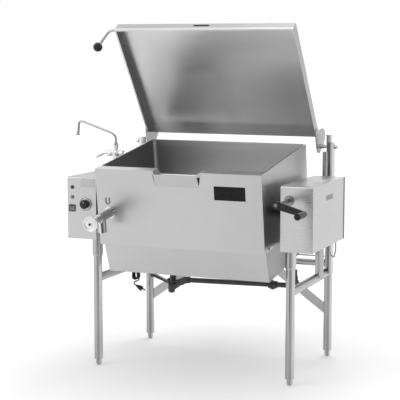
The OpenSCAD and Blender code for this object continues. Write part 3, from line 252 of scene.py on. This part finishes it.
def brushed(name, level, rough=0.34, along="X", contrast=0.05, zones=(), bow=None, relief=0.025):
    """Brushed sheet: grain along one axis, and along Y where it would be X on faces that look along X."""
    m, t, p = new_material(name)
    tc = t.nodes.new("ShaderNodeTexCoord")
    lines = noise(t, tc.outputs["Object"], GRAIN, STRETCH[along], detail=3.0, rough=0.6)
    if along == "X":
        other = noise(t, tc.outputs["Object"], GRAIN, STRETCH["Y"], detail=3.0, rough=0.6)
        sideways = math_node(t, "ABSOLUTE", component(t, tc.outputs["Normal"], X))
        lines = blend(t, math_node(t, "GREATER_THAN", sideways, SIDE), lines, other)
    cloud = noise(t, tc.outputs["Object"], 5.0, detail=3.0, rough=0.55)
    fac = ramp(t, blend(t, 0.4, lines, cloud), 0.3, 0.7, 0, 1)
    t.links.new(zoned(t, tc, fac, level, contrast, zones), p.inputs["Base Color"])
    t.links.new(ramp(t, lines, 0.3, 0.7, rough - 0.06, rough + 0.07), p.inputs["Roughness"])
    p.inputs["Metallic"].default_value = 1.0
    p.inputs["Anisotropic"].default_value = 0.4
    normal = bump(t, lines, relief, 0.0001, SHEET_EDGE)
    if bow:
        normal = bowed(t, tc, normal, *bow)
    t.links.new(normal, p.inputs["Normal"])
    return m


def turned(name, level, rough=0.25, contrast=0.06, zones=()):
    """Machined or plated metal with faint wear, and painted light and shade in its zones."""
    m, t, p = new_material(name)
    tc = t.nodes.new("ShaderNodeTexCoord")
    cloud = noise(t, tc.outputs["Object"], 35.0, detail=4.0, rough=0.6)
    fine = noise(t, tc.outputs["Object"], GRAIN)
    fac = ramp(t, cloud, 0.35, 0.65, 0, 1)
    t.links.new(zoned(t, tc, fac, level, contrast, zones), p.inputs["Base Color"])
    t.links.new(ramp(t, cloud, 0.3, 0.7, rough - 0.05, rough + 0.06), p.inputs["Roughness"])
    p.inputs["Metallic"].default_value = 1.0
    t.links.new(bump(t, fine, 0.05, 0.0001, 0.0006), p.inputs["Normal"])
    return m


def moulded(name, level, rough=0.42, spec=0.5, contrast=0.25, grain=700.0, split=None):
    """Moulded plastic, rubber or paint: fine grain and slightly uneven colour.

    A split is a height, and how many times lighter what lies below it is."""
    m, t, p = new_material(name)
    tc = t.nodes.new("ShaderNodeTexCoord")
    cloud = noise(t, tc.outputs["Object"], 24.0, detail=3.0, rough=0.6)
    fine = noise(t, tc.outputs["Object"], grain)
    dark, light = tones(level, contrast)
    colour = mixed(t, ramp(t, cloud, 0.35, 0.65, 0, 1), dark, light)
    if split:
        height, times = split
        below = math_node(t, "LESS_THAN", component(t, tc.outputs["Object"], Z), height)
        colour = mixed(t, below, colour, tuple(v * times for v in light))
    t.links.new(colour, p.inputs["Base Color"])
    t.links.new(ramp(t, cloud, 0.3, 0.7, rough - 0.05, rough + 0.07), p.inputs["Roughness"])
    p.inputs["Specular IOR Level"].default_value = spec
    t.links.new(bump(t, fine, 0.12, 0.0002, 0.0008), p.inputs["Normal"])
    return m


# Ways that faces look at rest
TO_RIGHT = (1, 0, 0)
TO_LEFT = (-1, 0, 0)
TO_FRONT = (0, -1, 0)
TO_TOP = (0, 0, 1)
PAN_RIM = (0, math.sin(PAN_TIP), math.cos(PAN_TIP))
PAN_FRONT = (0, -math.cos(PAN_TIP), -math.sin(PAN_TIP))
LID_INSIDE = (0, -math.sin(LID_OPEN), -math.cos(LID_OPEN))
LID_OUTSIDE = (0, math.sin(LID_OPEN), math.cos(LID_OPEN))
LID_EDGE = (0, -math.cos(LID_OPEN), math.sin(LID_OPEN))

# Sheet: the pan's side is painted light above, dark in the shade of the console, and light again at its
# foot
# Its rim is painted lighter too
SHEET = brushed("sheet_steel", 0.54,
                zones=[zone(PAN_RIM, 1.3),
                       zone(TO_RIGHT, 0.8, (Z, 1.0, 0.94)),
                       zone(TO_RIGHT, 0.42, (Z, 0.82, 0.9)),
                       zone(TO_RIGHT, 0.3, (Z, 0.68, 0.76)),
                       zone(TO_RIGHT, 1.2, (Z, 0.632, 0.652))])
# The lid's inside is painted darker low down and to the right; its front edge has a painted highlight hem
# Its outside and right side are painted darker
LID_STEEL = brushed("lid_steel", 0.42,
                    zones=[zone(LID_INSIDE, 1.6),
                           zone(LID_INSIDE, 1.95, (X, -0.02, -0.3)),
                           zone(LID_INSIDE, 2.3, (Z, 1.56, 1.3), (X, 0.1, -0.3)),
                           zone(LID_INSIDE, 1.3, (Z, 1.25, 1.48), (X, 0, -0.25)),
                           zone(LID_INSIDE, 1.0, (Z, 1.3, 1.48), (X, 0.33, 0.08)),
                           zone(LID_INSIDE, 0.8, (Z, 1.15, 1.19), (X, -0.25, -0.35), (X, -0.16, -0.03)),
                           zone(LID_EDGE, 1.8, (Z, 1.6175, 1.6195), (Z, 1.6, 1.59)),
                           zone(LID_EDGE, 1.3, (Z, 1.6195, 1.6175)),
                           zone(LID_OUTSIDE, 0.55),
                           zone(TO_RIGHT, 0.75, (X, 0, 0.01))])
# The tank's back wall is painted lighter and darkens to the left; its left wall and rim are in painted
# shade
TANK_STEEL = brushed("tank_steel", 0.6, rough=0.42,
                     zones=[zone(PAN_FRONT, 1.65),
                            zone(PAN_FRONT, 0.75, (X, -0.38, -0.02)),
                            zone(PAN_RIM, 0.3, (Z, 0.97, 0.9)),
                            zone(PAN_RIM, 0.8, (Z, 0.9, 0.97)),
                            zone(TO_RIGHT, 0.34)])
# The left console's top is painted darker, as shade
CONSOLE_STEEL = brushed("console_steel", 0.57, rough=0.36, contrast=0.03, zones=[zone(TO_TOP, 0.85)])
# The right console's front bows at its right edge, and its side has a painted shadow line at the back
# Its side and top are painted darker as shade
CONSOLE_BOWED = brushed("console_steel_bowed", 0.61, rough=0.3, contrast=0.025, relief=0.008,
                        bow=(0.554, 0.56, 0.84, 1.6),
                        zones=[zone(TO_RIGHT, 0.82),
                               zone(TO_TOP, 0.78),
                               zone(TO_RIGHT, 0.12, (Y, 0.113, 0.111))])
# Painted shade: the back covers' rims are dark
COVER_STEEL = brushed("cover_steel", 0.66, zones=[zone(TO_RIGHT, 0.1), zone(TO_LEFT, 0.1)])
# The burner box's right side is painted darker, as shade
BOX_STEEL = brushed("box_steel", 0.57, zones=[zone(TO_RIGHT, 0.62)])
# Tubes: painted reflections, a darker stripe down the front, a paler one to its right, a darker one to its
# left
TUBE = brushed("tube_steel", 0.44, rough=0.24, along="Z",
               zones=[zone((0.37, -0.93, 0), 0.7, facing=(0.94, 0.99)),
                      zone((0.93, -0.37, 0), 1.25, facing=(0.86, 0.95)),
                      zone((-0.75, -0.66, 0), 0.85, facing=(0.85, 0.95))])
BRACE = brushed("brace_steel", 0.42, rough=0.3)
# The rails' top faces are painted darker, as shade
RAIL = brushed("rail_steel", 0.44, rough=0.28, along="Y",
               zones=[zone((0.35, 0, 0.94), 0.4, facing=(0.92, 0.99))])
# The right lid post: painted reflections, a darker stripe down its front and a paler one to its right
POST = brushed("post_steel", 0.42, rough=0.24, along="Z",
               zones=[zone((-0.1, -0.99, 0), 0.45, facing=(0.9, 0.98)),
                      zone((0.92, -0.4, 0), 1.5, facing=(0.85, 0.95))])
# The left lid post is painted light: a lighter copy of the tube steel
TUBE_PAINTED_LIGHT = brushed("tube_steel_painted_light", 0.75, rough=0.3, along="Z")

# Turned and plated metal: painted shade underneath, and painted reflections as lighter and darker stripes
CHROME = turned("chrome", 0.7, rough=0.12, zones=[zone((0.2, -0.5, -0.84), 0.45, facing=(0.8, 0.95))])
SPOUT = turned("spout_chrome", 0.48, rough=0.16, zones=[zone((0.25, -0.95, 0.1), 0.3, facing=(0.9, 0.98))])
PLATED = turned("plated_steel", 0.36, rough=0.14,
                zones=[zone((0.2, -0.5, -0.84), 0.3, facing=(0.62, 0.85)),
                       zone((0.55, -0.83, 0), 0.35, facing=(0.9, 0.98)),
                       zone((-0.3, -0.4, 0.86), 2.3, facing=(0.8, 0.92)),
                       zone((-0.85, -0.5, 0), 2.0, facing=(0.85, 0.95)),
                       zone(PAN_FRONT, 1.9, facing=(0.96, 0.99))])
# The handwheel's stem end is dark
WHEEL = turned("wheel_steel", 0.72, rough=0.3,
               zones=[zone(PAN_FRONT, 0.06, (Y, -0.651, -0.6495), (Z, 0.7475, 0.748), (Z, 0.731, 0.7305),
                           facing=(0.9, 0.97))])
SATIN = turned("satin_steel", 0.42, rough=0.28)
WIRE = turned("wire_steel", 0.3)
DARK_STEEL = turned("dark_steel", 0.2)
# The escutcheon's front is painted darker, as shade
RING_STEEL = turned("ring_steel", 0.5, zones=[zone(TO_FRONT, 0.5, facing=(0.93, 0.99))])
GEAR = turned("gear_iron", 0.2, rough=0.45, contrast=0.2)

# Plastic, rubber and paint; a lamp's lens is light below its middle
BLACK = moulded("black_plastic", 0.02, rough=0.28, spec=0.3)
BADGE = moulded("badge_black", 0.012, rough=0.35, spec=0.15)
GRIP = moulded("grip_plastic", 0.02, rough=0.4, spec=0.25)
IRON = moulded("black_iron", 0.055, rough=0.38, grain=300.0)
RUBBER = moulded("rubber", 0.018, rough=0.55)
LAMP = moulded("lamp_lens", 0.03, rough=0.2, contrast=0.1, split=(0.8455, 6.0))
SWITCH = moulded("switch_grey", 0.14, rough=0.4)
ROCKER = moulded("rocker_grey", 0.28, rough=0.35)
LABEL = moulded("label_pale", 0.68, rough=0.45, contrast=0.06)
PLATE = moulded("plate_grey", 0.3, rough=0.4, contrast=0.08)
PALE = moulded("pale_plate", 0.8, rough=0.4, contrast=0.05)
MARK = moulded("white_marks", 0.8, rough=0.5, contrast=0.05)

LOOKS = {
    SHEET: ["pan_skin", "pour_lip"],
    BOX_STEEL: ["burner_box"],
    LID_STEEL: ["lid", "hinge_plate_left", "hinge_plate_right"],
    TANK_STEEL: ["tank"],
    CONSOLE_STEEL: ["console_left"],
    COVER_STEEL: ["console_left_back", "console_right_back"],
    CONSOLE_BOWED: ["console_right"],
    TUBE: ["leg_front_left", "leg_front_right", "leg_rear_left", "leg_rear_right", "leg_socket_left",
           "leg_socket_right", "lid_balance", "feet"],
    POST: ["lid_post_right"],
    TUBE_PAINTED_LIGHT: ["lid_post_left"],
    RAIL: ["side_frame_left", "side_frame_right", "rear_rail"],
    BRACE: ["brace_left", "brace_right"],
    CHROME: ["faucet_body", "lever_left", "lever_right", "hinge_pins"],
    SPOUT: ["spout", "lid_handle"],
    PLATED: ["valve_body"],
    WHEEL: ["valve_wheel", "dial"],
    WIRE: ["strainer_hook"],
    SATIN: ["valve_plug", "conduit"],
    DARK_STEEL: ["crank_shaft"],
    RING_STEEL: ["crank_escutcheon"],
    GEAR: ["bearing_left", "bearing_right", "worm_bracket", "trunnion_left", "trunnion_right", "burners"],
    BLACK: ["knob", "lid_ball", "crank_arm"],
    GRIP: ["crank_grip"],
    IRON: ["gas_line", "gas_hanger"],
    RUBBER: ["cord_gland", "plug", "cord", "hank"],
    LAMP: ["lamps"],
    SWITCH: ["switch_frame"],
    ROCKER: ["switch_rocker"],
}
for material, names in LOOKS.items():
    for name in names:
        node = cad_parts[name]
        node.data.materials.clear()
        node.data.materials.append(material)


def add_piece(name, data, material, body):
    """A new piece of the object, which rides a body of the frame."""
    o = bpy.data.objects.new(name, data)
    bpy.context.scene.collection.objects.link(o)
    data.materials.append(material)
    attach(o, body)
    return o


def curve_piece(name, points, diameter, material, body, cyclic=False):
    data = bpy.data.curves.new(name, "CURVE")
    data.dimensions = "3D"
    data.bevel_depth = diameter / 2
    data.bevel_resolution = 4
    data.use_fill_caps = True
    spline = data.splines.new("POLY")
    spline.points.add(len(points) - 1)
    for q, p in zip(spline.points, points):
        q.co = (*p, 1)
    spline.use_cyclic_u = cyclic
    spline.use_smooth = True
    return add_piece(name, data, material, body)


# Mains cord, in millimetres: down from the gland by given points, then through the hank's loops
CORD_D = 0.007
GLAND = (-545, 137, 662)
BENDS = [(0, 2, 0), (0, 26, 0), (0, 35, 0), (1, 45, -3), (3, 54, -10), (7, 60, -21), (12, 62, -36),
         (20, 60, -58), (29, 54, -88), (36, 47, -115), (40, 41, -136), (41, 39, -146), (41, 39, -156)]
ROUTE = [tuple(g + b for g, b in zip(GLAND, bend)) for bend in BENDS]

# Hank: its loops, the points of half a loop, and how many of them rise from the waist to a turn
LOOPS = 5
HALF = 12
RISE = 3
# First point in use, and how many come after the last whole loop
FIRST = 9
EXTRA = 4
# Half the height between the turns, and the gap from loop to loop
HANK_HALF = 74.15
LOOP_GAP = 0.7
# In cord diameters: a turn's radius, half the waist, and the lead above the first point
TURN = 2.05
WAIST = 0.8
LEAD = 1.25
# How far outside the last loop the tail hangs, in loops
ASIDE = 0.6
# Tail, by shares of the hank's half width, waist and half height, and its drop below the lower turns
TAIL = [(1, -1, -0.5), (1, -1, -1), (1, -1, -1.154), (0.94, -1, -1.404), (0.73, -0.89, -1.601),
        (0.45, -0.54, -1.68), (0.18, 0.1, -1.72), (-0.06, 1, -1.786), (-0.176, 1.82, -1.904),
        (-0.184, 1.9, -2.049), (-0.126, 1.32, -2.167), (-0.02, 0.2, -2.278)]
TAIL_DROP = 38


def hank_points():
    """The hank's loops and tail in millimetres, its loops side by side along X."""
    d = CORD_D * 1000
    pitch = d + LOOP_GAP
    r = TURN * d
    waist = WAIST * d

    def width(t):
        return waist + (r - waist) * (1 - math.cos(math.pi * t)) / 2

    def half_loop(j):
        if j < RISE:
            return width(j / RISE), HANK_HALF * j / RISE
        if j <= HALF - RISE:
            a = math.pi * (j - RISE) / (HALF - 2 * RISE)
            return r * math.cos(a), HANK_HALF + r * math.sin(a)
        left = (HALF - j) / RISE
        return -width(left), HANK_HALF * left

    def loop_point(i):
        s = 1 if i // HALF % 2 == 0 else -1
        u, z = half_loop(i % HALF)
        return Vector((pitch * ((i - FIRST) / (2 * HALF) - LOOPS / 2), s * u, s * z))

    body = [loop_point(i) for i in range(FIRST, FIRST + 2 * HALF * LOOPS + EXTRA)]
    out = pitch * (LOOPS / 2 + ASIDE)
    tail = [Vector((out * a, waist * b, HANK_HALF * c if c > -1 else -HANK_HALF + (c + 1) * TAIL_DROP))
            for a, b, c in TAIL]
    return [body[0] + Vector((0, 0, LEAD * d))] + body + tail


turn_hank = Matrix.Rotation(math.pi / 2, 3, "Z")
loops = hank_points()


def hank_place(p):
    return at(*ROUTE[-1]) + turn_hank @ (p - loops[0]) / 1000


path = [at(*p) for p in ROUTE[:-1]] + [hank_place(p) for p in loops]


def smooth_path(points, steps):
    """Catmull-Rom points through the given ones."""
    out = []
    for i in range(len(points) - 1):
        a = points[max(i - 1, 0)]
        b = points[i]
        c = points[i + 1]
        d = points[min(i + 2, len(points) - 1)]
        for k in range(steps):
            t = k / steps
            out.append(0.5 * ((2 * b) + (c - a) * t + (2 * a - 5 * b + 4 * c - d) * t * t
                              + (3 * b - a - 3 * c + d) * t ** 3))
    out.append(points[-1])
    return out


cord_points = smooth_path(path, 4)
cord = curve_piece("mains_cord", cord_points, CORD_D, RUBBER, "frame")
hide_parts("cord", "hank")


# Small pieces
def mesh_piece(name, bm, material, body, smooth=False):
    bmesh.ops.recalc_face_normals(bm, faces=bm.faces)
    data = bpy.data.meshes.new(name)
    bm.to_mesh(data)
    bm.free()
    for f in data.polygons:
        f.use_smooth = smooth
    return add_piece(name, data, material, body)


def rounded(w, h, r, n=4):
    """Corner points of a rounded rectangle about its middle, in millimetres."""
    out = []
    for cx, cy, start in ((1, 1, 0), (-1, 1, 90), (-1, -1, 180), (1, -1, 270)):
        for i in range(n + 1):
            a = math.radians(start + 90 * i / n)
            out.append((cx * (w / 2 - r) + r * math.cos(a), cy * (h / 2 - r) + r * math.sin(a)))
    return out


def join_rings(bm, rings):
    """Faces from each ring of points to the next."""
    for a, b in zip(rings, rings[1:]):
        for i in range(len(a)):
            j = (i + 1) % len(a)
            bm.faces.new((a[i], a[j], b[j], b[i]))


def slab(bm, place, outline, thick, chamfer=0.3):
    """A plate in bm: place(a, b, c) gives the point at a, b on the plate and c above what carries it."""
    rings = []
    for shrink, c in ((0, 0), (0, thick - chamfer), (chamfer, thick)):
        ring = []
        for a, b in outline:
            n = math.hypot(a, b) or 1
            ring.append(bm.verts.new(place(a - a / n * shrink, b - b / n * shrink, c)))
        rings.append(ring)
    bm.faces.new(rings[0][::-1])
    bm.faces.new(rings[-1])
    join_rings(bm, rings)


def plate(name, middle, across, up, outline, thick, material, body):
    """A plate whose middle, width and height directions are given in world metres."""
    normal = across.cross(up)

    def place(a, b, c):
        return middle + (across * a + up * b + normal * c) / 1000

    bm = bmesh.new()
    slab(bm, place, outline, thick)
    return mesh_piece(name, bm, material, body)


def band_piece(name, inner, outer, place, material, body):
    """A closed band between two outlines of as many points; place(a, b, c) puts a point, c from 0 to 1."""
    bm = bmesh.new()
    rings = [[bm.verts.new(place(a, b, c)) for a, b in line]
             for line, c in ((inner, 0), (outer, 0), (outer, 1), (inner, 1))]
    join_rings(bm, rings + rings[:1])
    return mesh_piece(name, bm, material, body)


# A domed screw's outline, by shares of its diameter and of its head's height, and its socket's
DOME = [(0.5, 0), (0.5, 0.35), (0.44, 0.75), (0.34, 1), (0.25, 1)]
SOCKET_R = 0.2
SOCKET_FLOOR = 0.3
SCREW_SIDES = 24


def screw(bm, place, normal, d, t):
    """A domed screw with a hexagon socket, in bm."""
    side = normal.orthogonal().normalized()
    other = normal.cross(side)

    def ring(radius, c):
        points = []
        for i in range(SCREW_SIDES):
            a = 360 * i / SCREW_SIDES
            u = side * math.cos(math.radians(a)) + other * math.sin(math.radians(a))
            points.append(bm.verts.new(place + (u * radius(a) + normal * c) / 1000))
        return points

    def hexagon(a):
        return d * SOCKET_R * math.cos(math.radians(30)) / math.cos(math.radians(a % 60 - 30))

    rings = [ring(lambda a, r=r: d * r, t * c) for r, c in DOME]
    rings += [ring(hexagon, t * c) for c in (1, SOCKET_FLOOR)]
    join_rings(bm, rings)
    bm.faces.new(rings[-1])
    bm.faces.new(rings[0][::-1])


# Badge with its pale rim, and the plates of the consoles. Each has its middle, the ways of its width
# and height, its width, height and corner radius, and its thickness
PAN_UP = (pan_point(0, 0, 100) - pan_point(0, 0, 0)).normalized()
PLATES = [
    ("badge_rim", pan_point(254.3, 0, -89.3), RIGHT, PAN_UP, (157, 72, 6), 0.8, PALE, "pan"),
    ("badge_face", pan_point(254.3, -0.6, -89.3), RIGHT, PAN_UP, (149, 64, 4), 0.9, BADGE, "pan"),
    ("console_plate", at(-500, -366, 893), RIGHT, UP, (74, 42, 2), 0.6, LABEL, "frame"),
    ("side_plate", at(609.5, -116.2, 849), BACK, UP, (101.5, 22, 2), 0.6, PLATE, "frame"),
]
for name, middle, across, up, size, thick, material, body in PLATES:
    plate(name, middle, across, up, rounded(*size), thick, material, body)

# Knob: its middle as x and z, and the y of its skirt and of its face
KNOB = (-513.5, 790.7)
SKIRT_Y = -378.0
FACE_Y = -392.4
# Marks round the skirt and the pointer on the face: width, start and end along the spoke
MARKS = 11
MARK_STEP = 28
MARK_BAR = (1.6, 18, 21)
POINTER_BAR = (1.8, 3, 15)
MARK_THICK = 0.3
# Seal round the dial
SEAL_R = 30.2
SEAL_Y = -366.8
SEAL_D = 0.0018
SEAL_POINTS = 64


def on_knob(turn, p, q, y):
    """A point p across and q along a spoke that stands at an angle from the top."""
    x = q * math.sin(turn) + p * math.cos(turn)
    z = q * math.cos(turn) - p * math.sin(turn)
    return at(KNOB[0] + x, y, KNOB[1] + z)


def bar(w, start, end):
    return [(-w / 2, start), (w / 2, start), (w / 2, end), (-w / 2, end)]


marks = bmesh.new()
for i in range(MARKS):
    angle = math.radians(MARK_STEP * (i - (MARKS - 1) / 2))
    slab(marks, lambda p, q, c, a=angle: on_knob(a, p, q, SKIRT_Y - c), bar(*MARK_BAR), MARK_THICK, 0.0)
slab(marks, lambda p, q, c: on_knob(0, p, q, FACE_Y - c), bar(*POINTER_BAR), MARK_THICK, 0.0)
mesh_piece("knob_marks", marks, MARK, "thermostat")
ring = [on_knob(2 * math.pi * i / SEAL_POINTS, 0, SEAL_R, SEAL_Y) for i in range(SEAL_POINTS)]
curve_piece("dial_seal", ring, SEAL_D, BLACK, "frame", cyclic=True)

# Dark bar on the lid's front edge
LID_UP = (lid_point(0, 0, 100) - lid_point(0, 0, 0)).normalized()
plate("lid_plate", lid_point(-10, -705.8, 6), RIGHT, LID_UP, rounded(80, 11, 1.5), 0.5, BADGE, "lid")

# Gaps before the consoles' back covers, with a dark band in each as painted shadow: middle of a gap's
# front, its size inside the band, its depth and corner radius, and the band's thickness
GAP_AT = (533.75, 123.3, 771)
GAP_SIZE = (147.5, 291)
GAP_DEEP = 4.4
GAP_CORNER = 0.5
GAP_SHADOW_BAND = 1.6
inner = rounded(*GAP_SIZE, GAP_CORNER, 1)
outer = rounded(*(v + 2 * GAP_SHADOW_BAND for v in GAP_SIZE), GAP_CORNER, 1)
for name, side in (("cover_gap_shadow_left", -1), ("cover_gap_shadow_right", 1)):
    x, y, z = GAP_AT
    middle = at(side * x, y, z)
    band_piece(name, inner, outer, lambda a, b, c: middle + Vector((a, GAP_DEEP * c, b)) / 1000,
               RUBBER, "frame")

# Tie round the hank's waist: its two widths in cord diameters, how much wider it is outside, and its height
TIE = (5.9, 2.75)
TIE_SWELL = (1.05, 1.1)
TIE_TALL = 10
TIE_CORNER = 8
inner = rounded(*(v * CORD_D * 1000 for v in TIE), TIE_CORNER, 8)
outer = [(a * TIE_SWELL[0], b * TIE_SWELL[1]) for a, b in inner]
band_piece("hank_tie", inner, outer, lambda a, b, c: hank_place(Vector((a, b, TIE_TALL * (c - 0.5)))),
           RUBBER, "frame")

# Screws of the back covers and of the pan's skirt: places, diameter and height of the head
COVER_SCREWS_X = (470, 597.5)
COVER_SCREWS_Z = (640, 771, 902)
COVER_BACK_Y = 137
COVER_SCREW = (7.0, 2.0)
SKIRT_SCREW_AT = (406.7, 60, -351)
SKIRT_SCREW = (13.0, 3.0)
screws = bmesh.new()
for side in (-1, 1):
    for x in COVER_SCREWS_X:
        for z in COVER_SCREWS_Z:
            screw(screws, at(side * x, COVER_BACK_Y, z), BACK, *COVER_SCREW)
mesh_piece("cover_screws", screws, SATIN, "frame", True)
screws = bmesh.new()
for side in (1, -1):
    x, y, z = SKIRT_SCREW_AT
    screw(screws, pan_point(side * x, y, z), side * RIGHT, *SKIRT_SCREW)
mesh_piece("skirt_screws", screws, GEAR, "pan", True)


# Stage
def stage_piece(name, points, faces, material):
    data = bpy.data.meshes.new(name)
    data.from_pydata(points, [], faces)
    data.materials.append(material)
    o = bpy.data.objects.new(name, data)
    bpy.context.scene.collection.objects.link(o)
    return o


def seen_rays(tree):
    """One where the ray comes from the camera, from gloss or through glass, and zero elsewhere."""
    rays = tree.nodes.new("ShaderNodeLightPath")
    return math_node(tree, "MAXIMUM", rays.outputs["Is Camera Ray"],
                     math_node(tree, "MAXIMUM", rays.outputs["Is Glossy Ray"],
                               rays.outputs["Is Transmission Ray"]))


# Floor: its half width, the middle of a painted shadow where the glow is least, and the glow's reach
FLOOR = 60.0
PAINTED_SHADOW_MIDDLE = (0, 0.35, 0)
GLOW_NEAR = 1.3
GLOW_FAR = 6.0


def floor_material():
    """White floor that keeps the object's shadow: where seen it glows, least in a painted shadow at the
    middle, more so further out.
    """
    m = bpy.data.materials.new("floor_white")
    m.use_nodes = True
    t = m.node_tree
    t.nodes.clear()
    out = t.nodes.new("ShaderNodeOutputMaterial")
    diffuse = t.nodes.new("ShaderNodeBsdfDiffuse")
    diffuse.inputs[0].default_value = (0.8, 0.8, 0.8, 1)
    glow = t.nodes.new("ShaderNodeEmission")
    place = t.nodes.new("ShaderNodeTexCoord").outputs["Object"]
    away = vector_node(t, "DISTANCE", place, PAINTED_SHADOW_MIDDLE)
    near = ramp(t, away, 0, GLOW_NEAR, 0.13, 0.42)
    far = ramp(t, away, GLOW_NEAR, GLOW_FAR, 0, 0.2)
    t.links.new(math_node(t, "ADD", near, far), glow.inputs[1])
    both = t.nodes.new("ShaderNodeAddShader")
    pick = t.nodes.new("ShaderNodeMixShader")
    t.links.new(diffuse.outputs[0], both.inputs[0])
    t.links.new(glow.outputs[0], both.inputs[1])
    t.links.new(seen_rays(t), pick.inputs[0])
    t.links.new(diffuse.outputs[0], pick.inputs[1])
    t.links.new(both.outputs[0], pick.inputs[2])
    t.links.new(pick.outputs[0], out.inputs[0])
    return m


stage_piece("floor", [(-FLOOR, -FLOOR, 0), (FLOOR, -FLOOR, 0), (FLOOR, FLOOR, 0), (-FLOOR, FLOOR, 0)],
            [(0, 1, 2, 3)], floor_material())

# Dark cards in front, for the metal's reflections alone: a broad one to the right, a thin one to the left.
# Each has its left and right edge as x, and its shape as y and z
CARDS = [(0.2, 0.9, [(-1.7, 0.02), (-3.1, 0.45), (-3.1, 2.2)]),
         (-1.40, -1.12, [(-3.1, 0.0), (-3.1, 2.2)])]
points = []
faces = []
for left, right, shape in CARDS:
    base = len(points)
    points += [(x, y, z) for y, z in shape for x in (left, right)]
    for k in range(base, base + 2 * len(shape) - 2, 2):
        faces.append((k, k + 1, k + 3, k + 2))
cards = stage_piece("cards", points, faces, moulded("card_grey", 0.05, rough=0.8))
cards.location = (MID.x, MID.y, 0)
cards.visible_camera = False
cards.visible_diffuse = False
cards.visible_shadow = False


def backdrop(tree, strength):
    n = tree.nodes.new("ShaderNodeBackground")
    n.inputs[0].default_value = (1, 1, 1, 1)
    n.inputs[1].default_value = strength
    return n.outputs[0]


# World: white where it is seen, softer as light
WORLD_LIGHT = 0.65
world = bpy.data.worlds.new("studio")
bpy.context.scene.world = world
world.use_nodes = True
wt = world.node_tree
wt.nodes.clear()
out = wt.nodes.new("ShaderNodeOutputWorld")
mix = wt.nodes.new("ShaderNodeMixShader")
wt.links.new(seen_rays(wt), mix.inputs[0])
wt.links.new(backdrop(wt, WORLD_LIGHT), mix.inputs[1])
wt.links.new(backdrop(wt, 1.0), mix.inputs[2])
wt.links.new(mix.outputs[0], out.inputs[0])


def lamp(name, place, target, size, power):
    data = bpy.data.lights.new(name, "AREA")
    data.shape = "DISK"
    data.size = size
    data.energy = power
    o = bpy.data.objects.new(name, data)
    o.location = place
    o.rotation_euler = (Vector(target) - Vector(place)).to_track_quat("-Z", "Y").to_euler()
    bpy.context.scene.collection.objects.link(o)


lamp("key", (-2.2, -2.6, 3.6), (0, 0, 0.7), 3.5, 30)
lamp("back", (0.2, 2.4, 3.4), (0, 0, 0.4), 2.5, 44)
bpy.context.scene.view_settings.view_transform = "Standard"
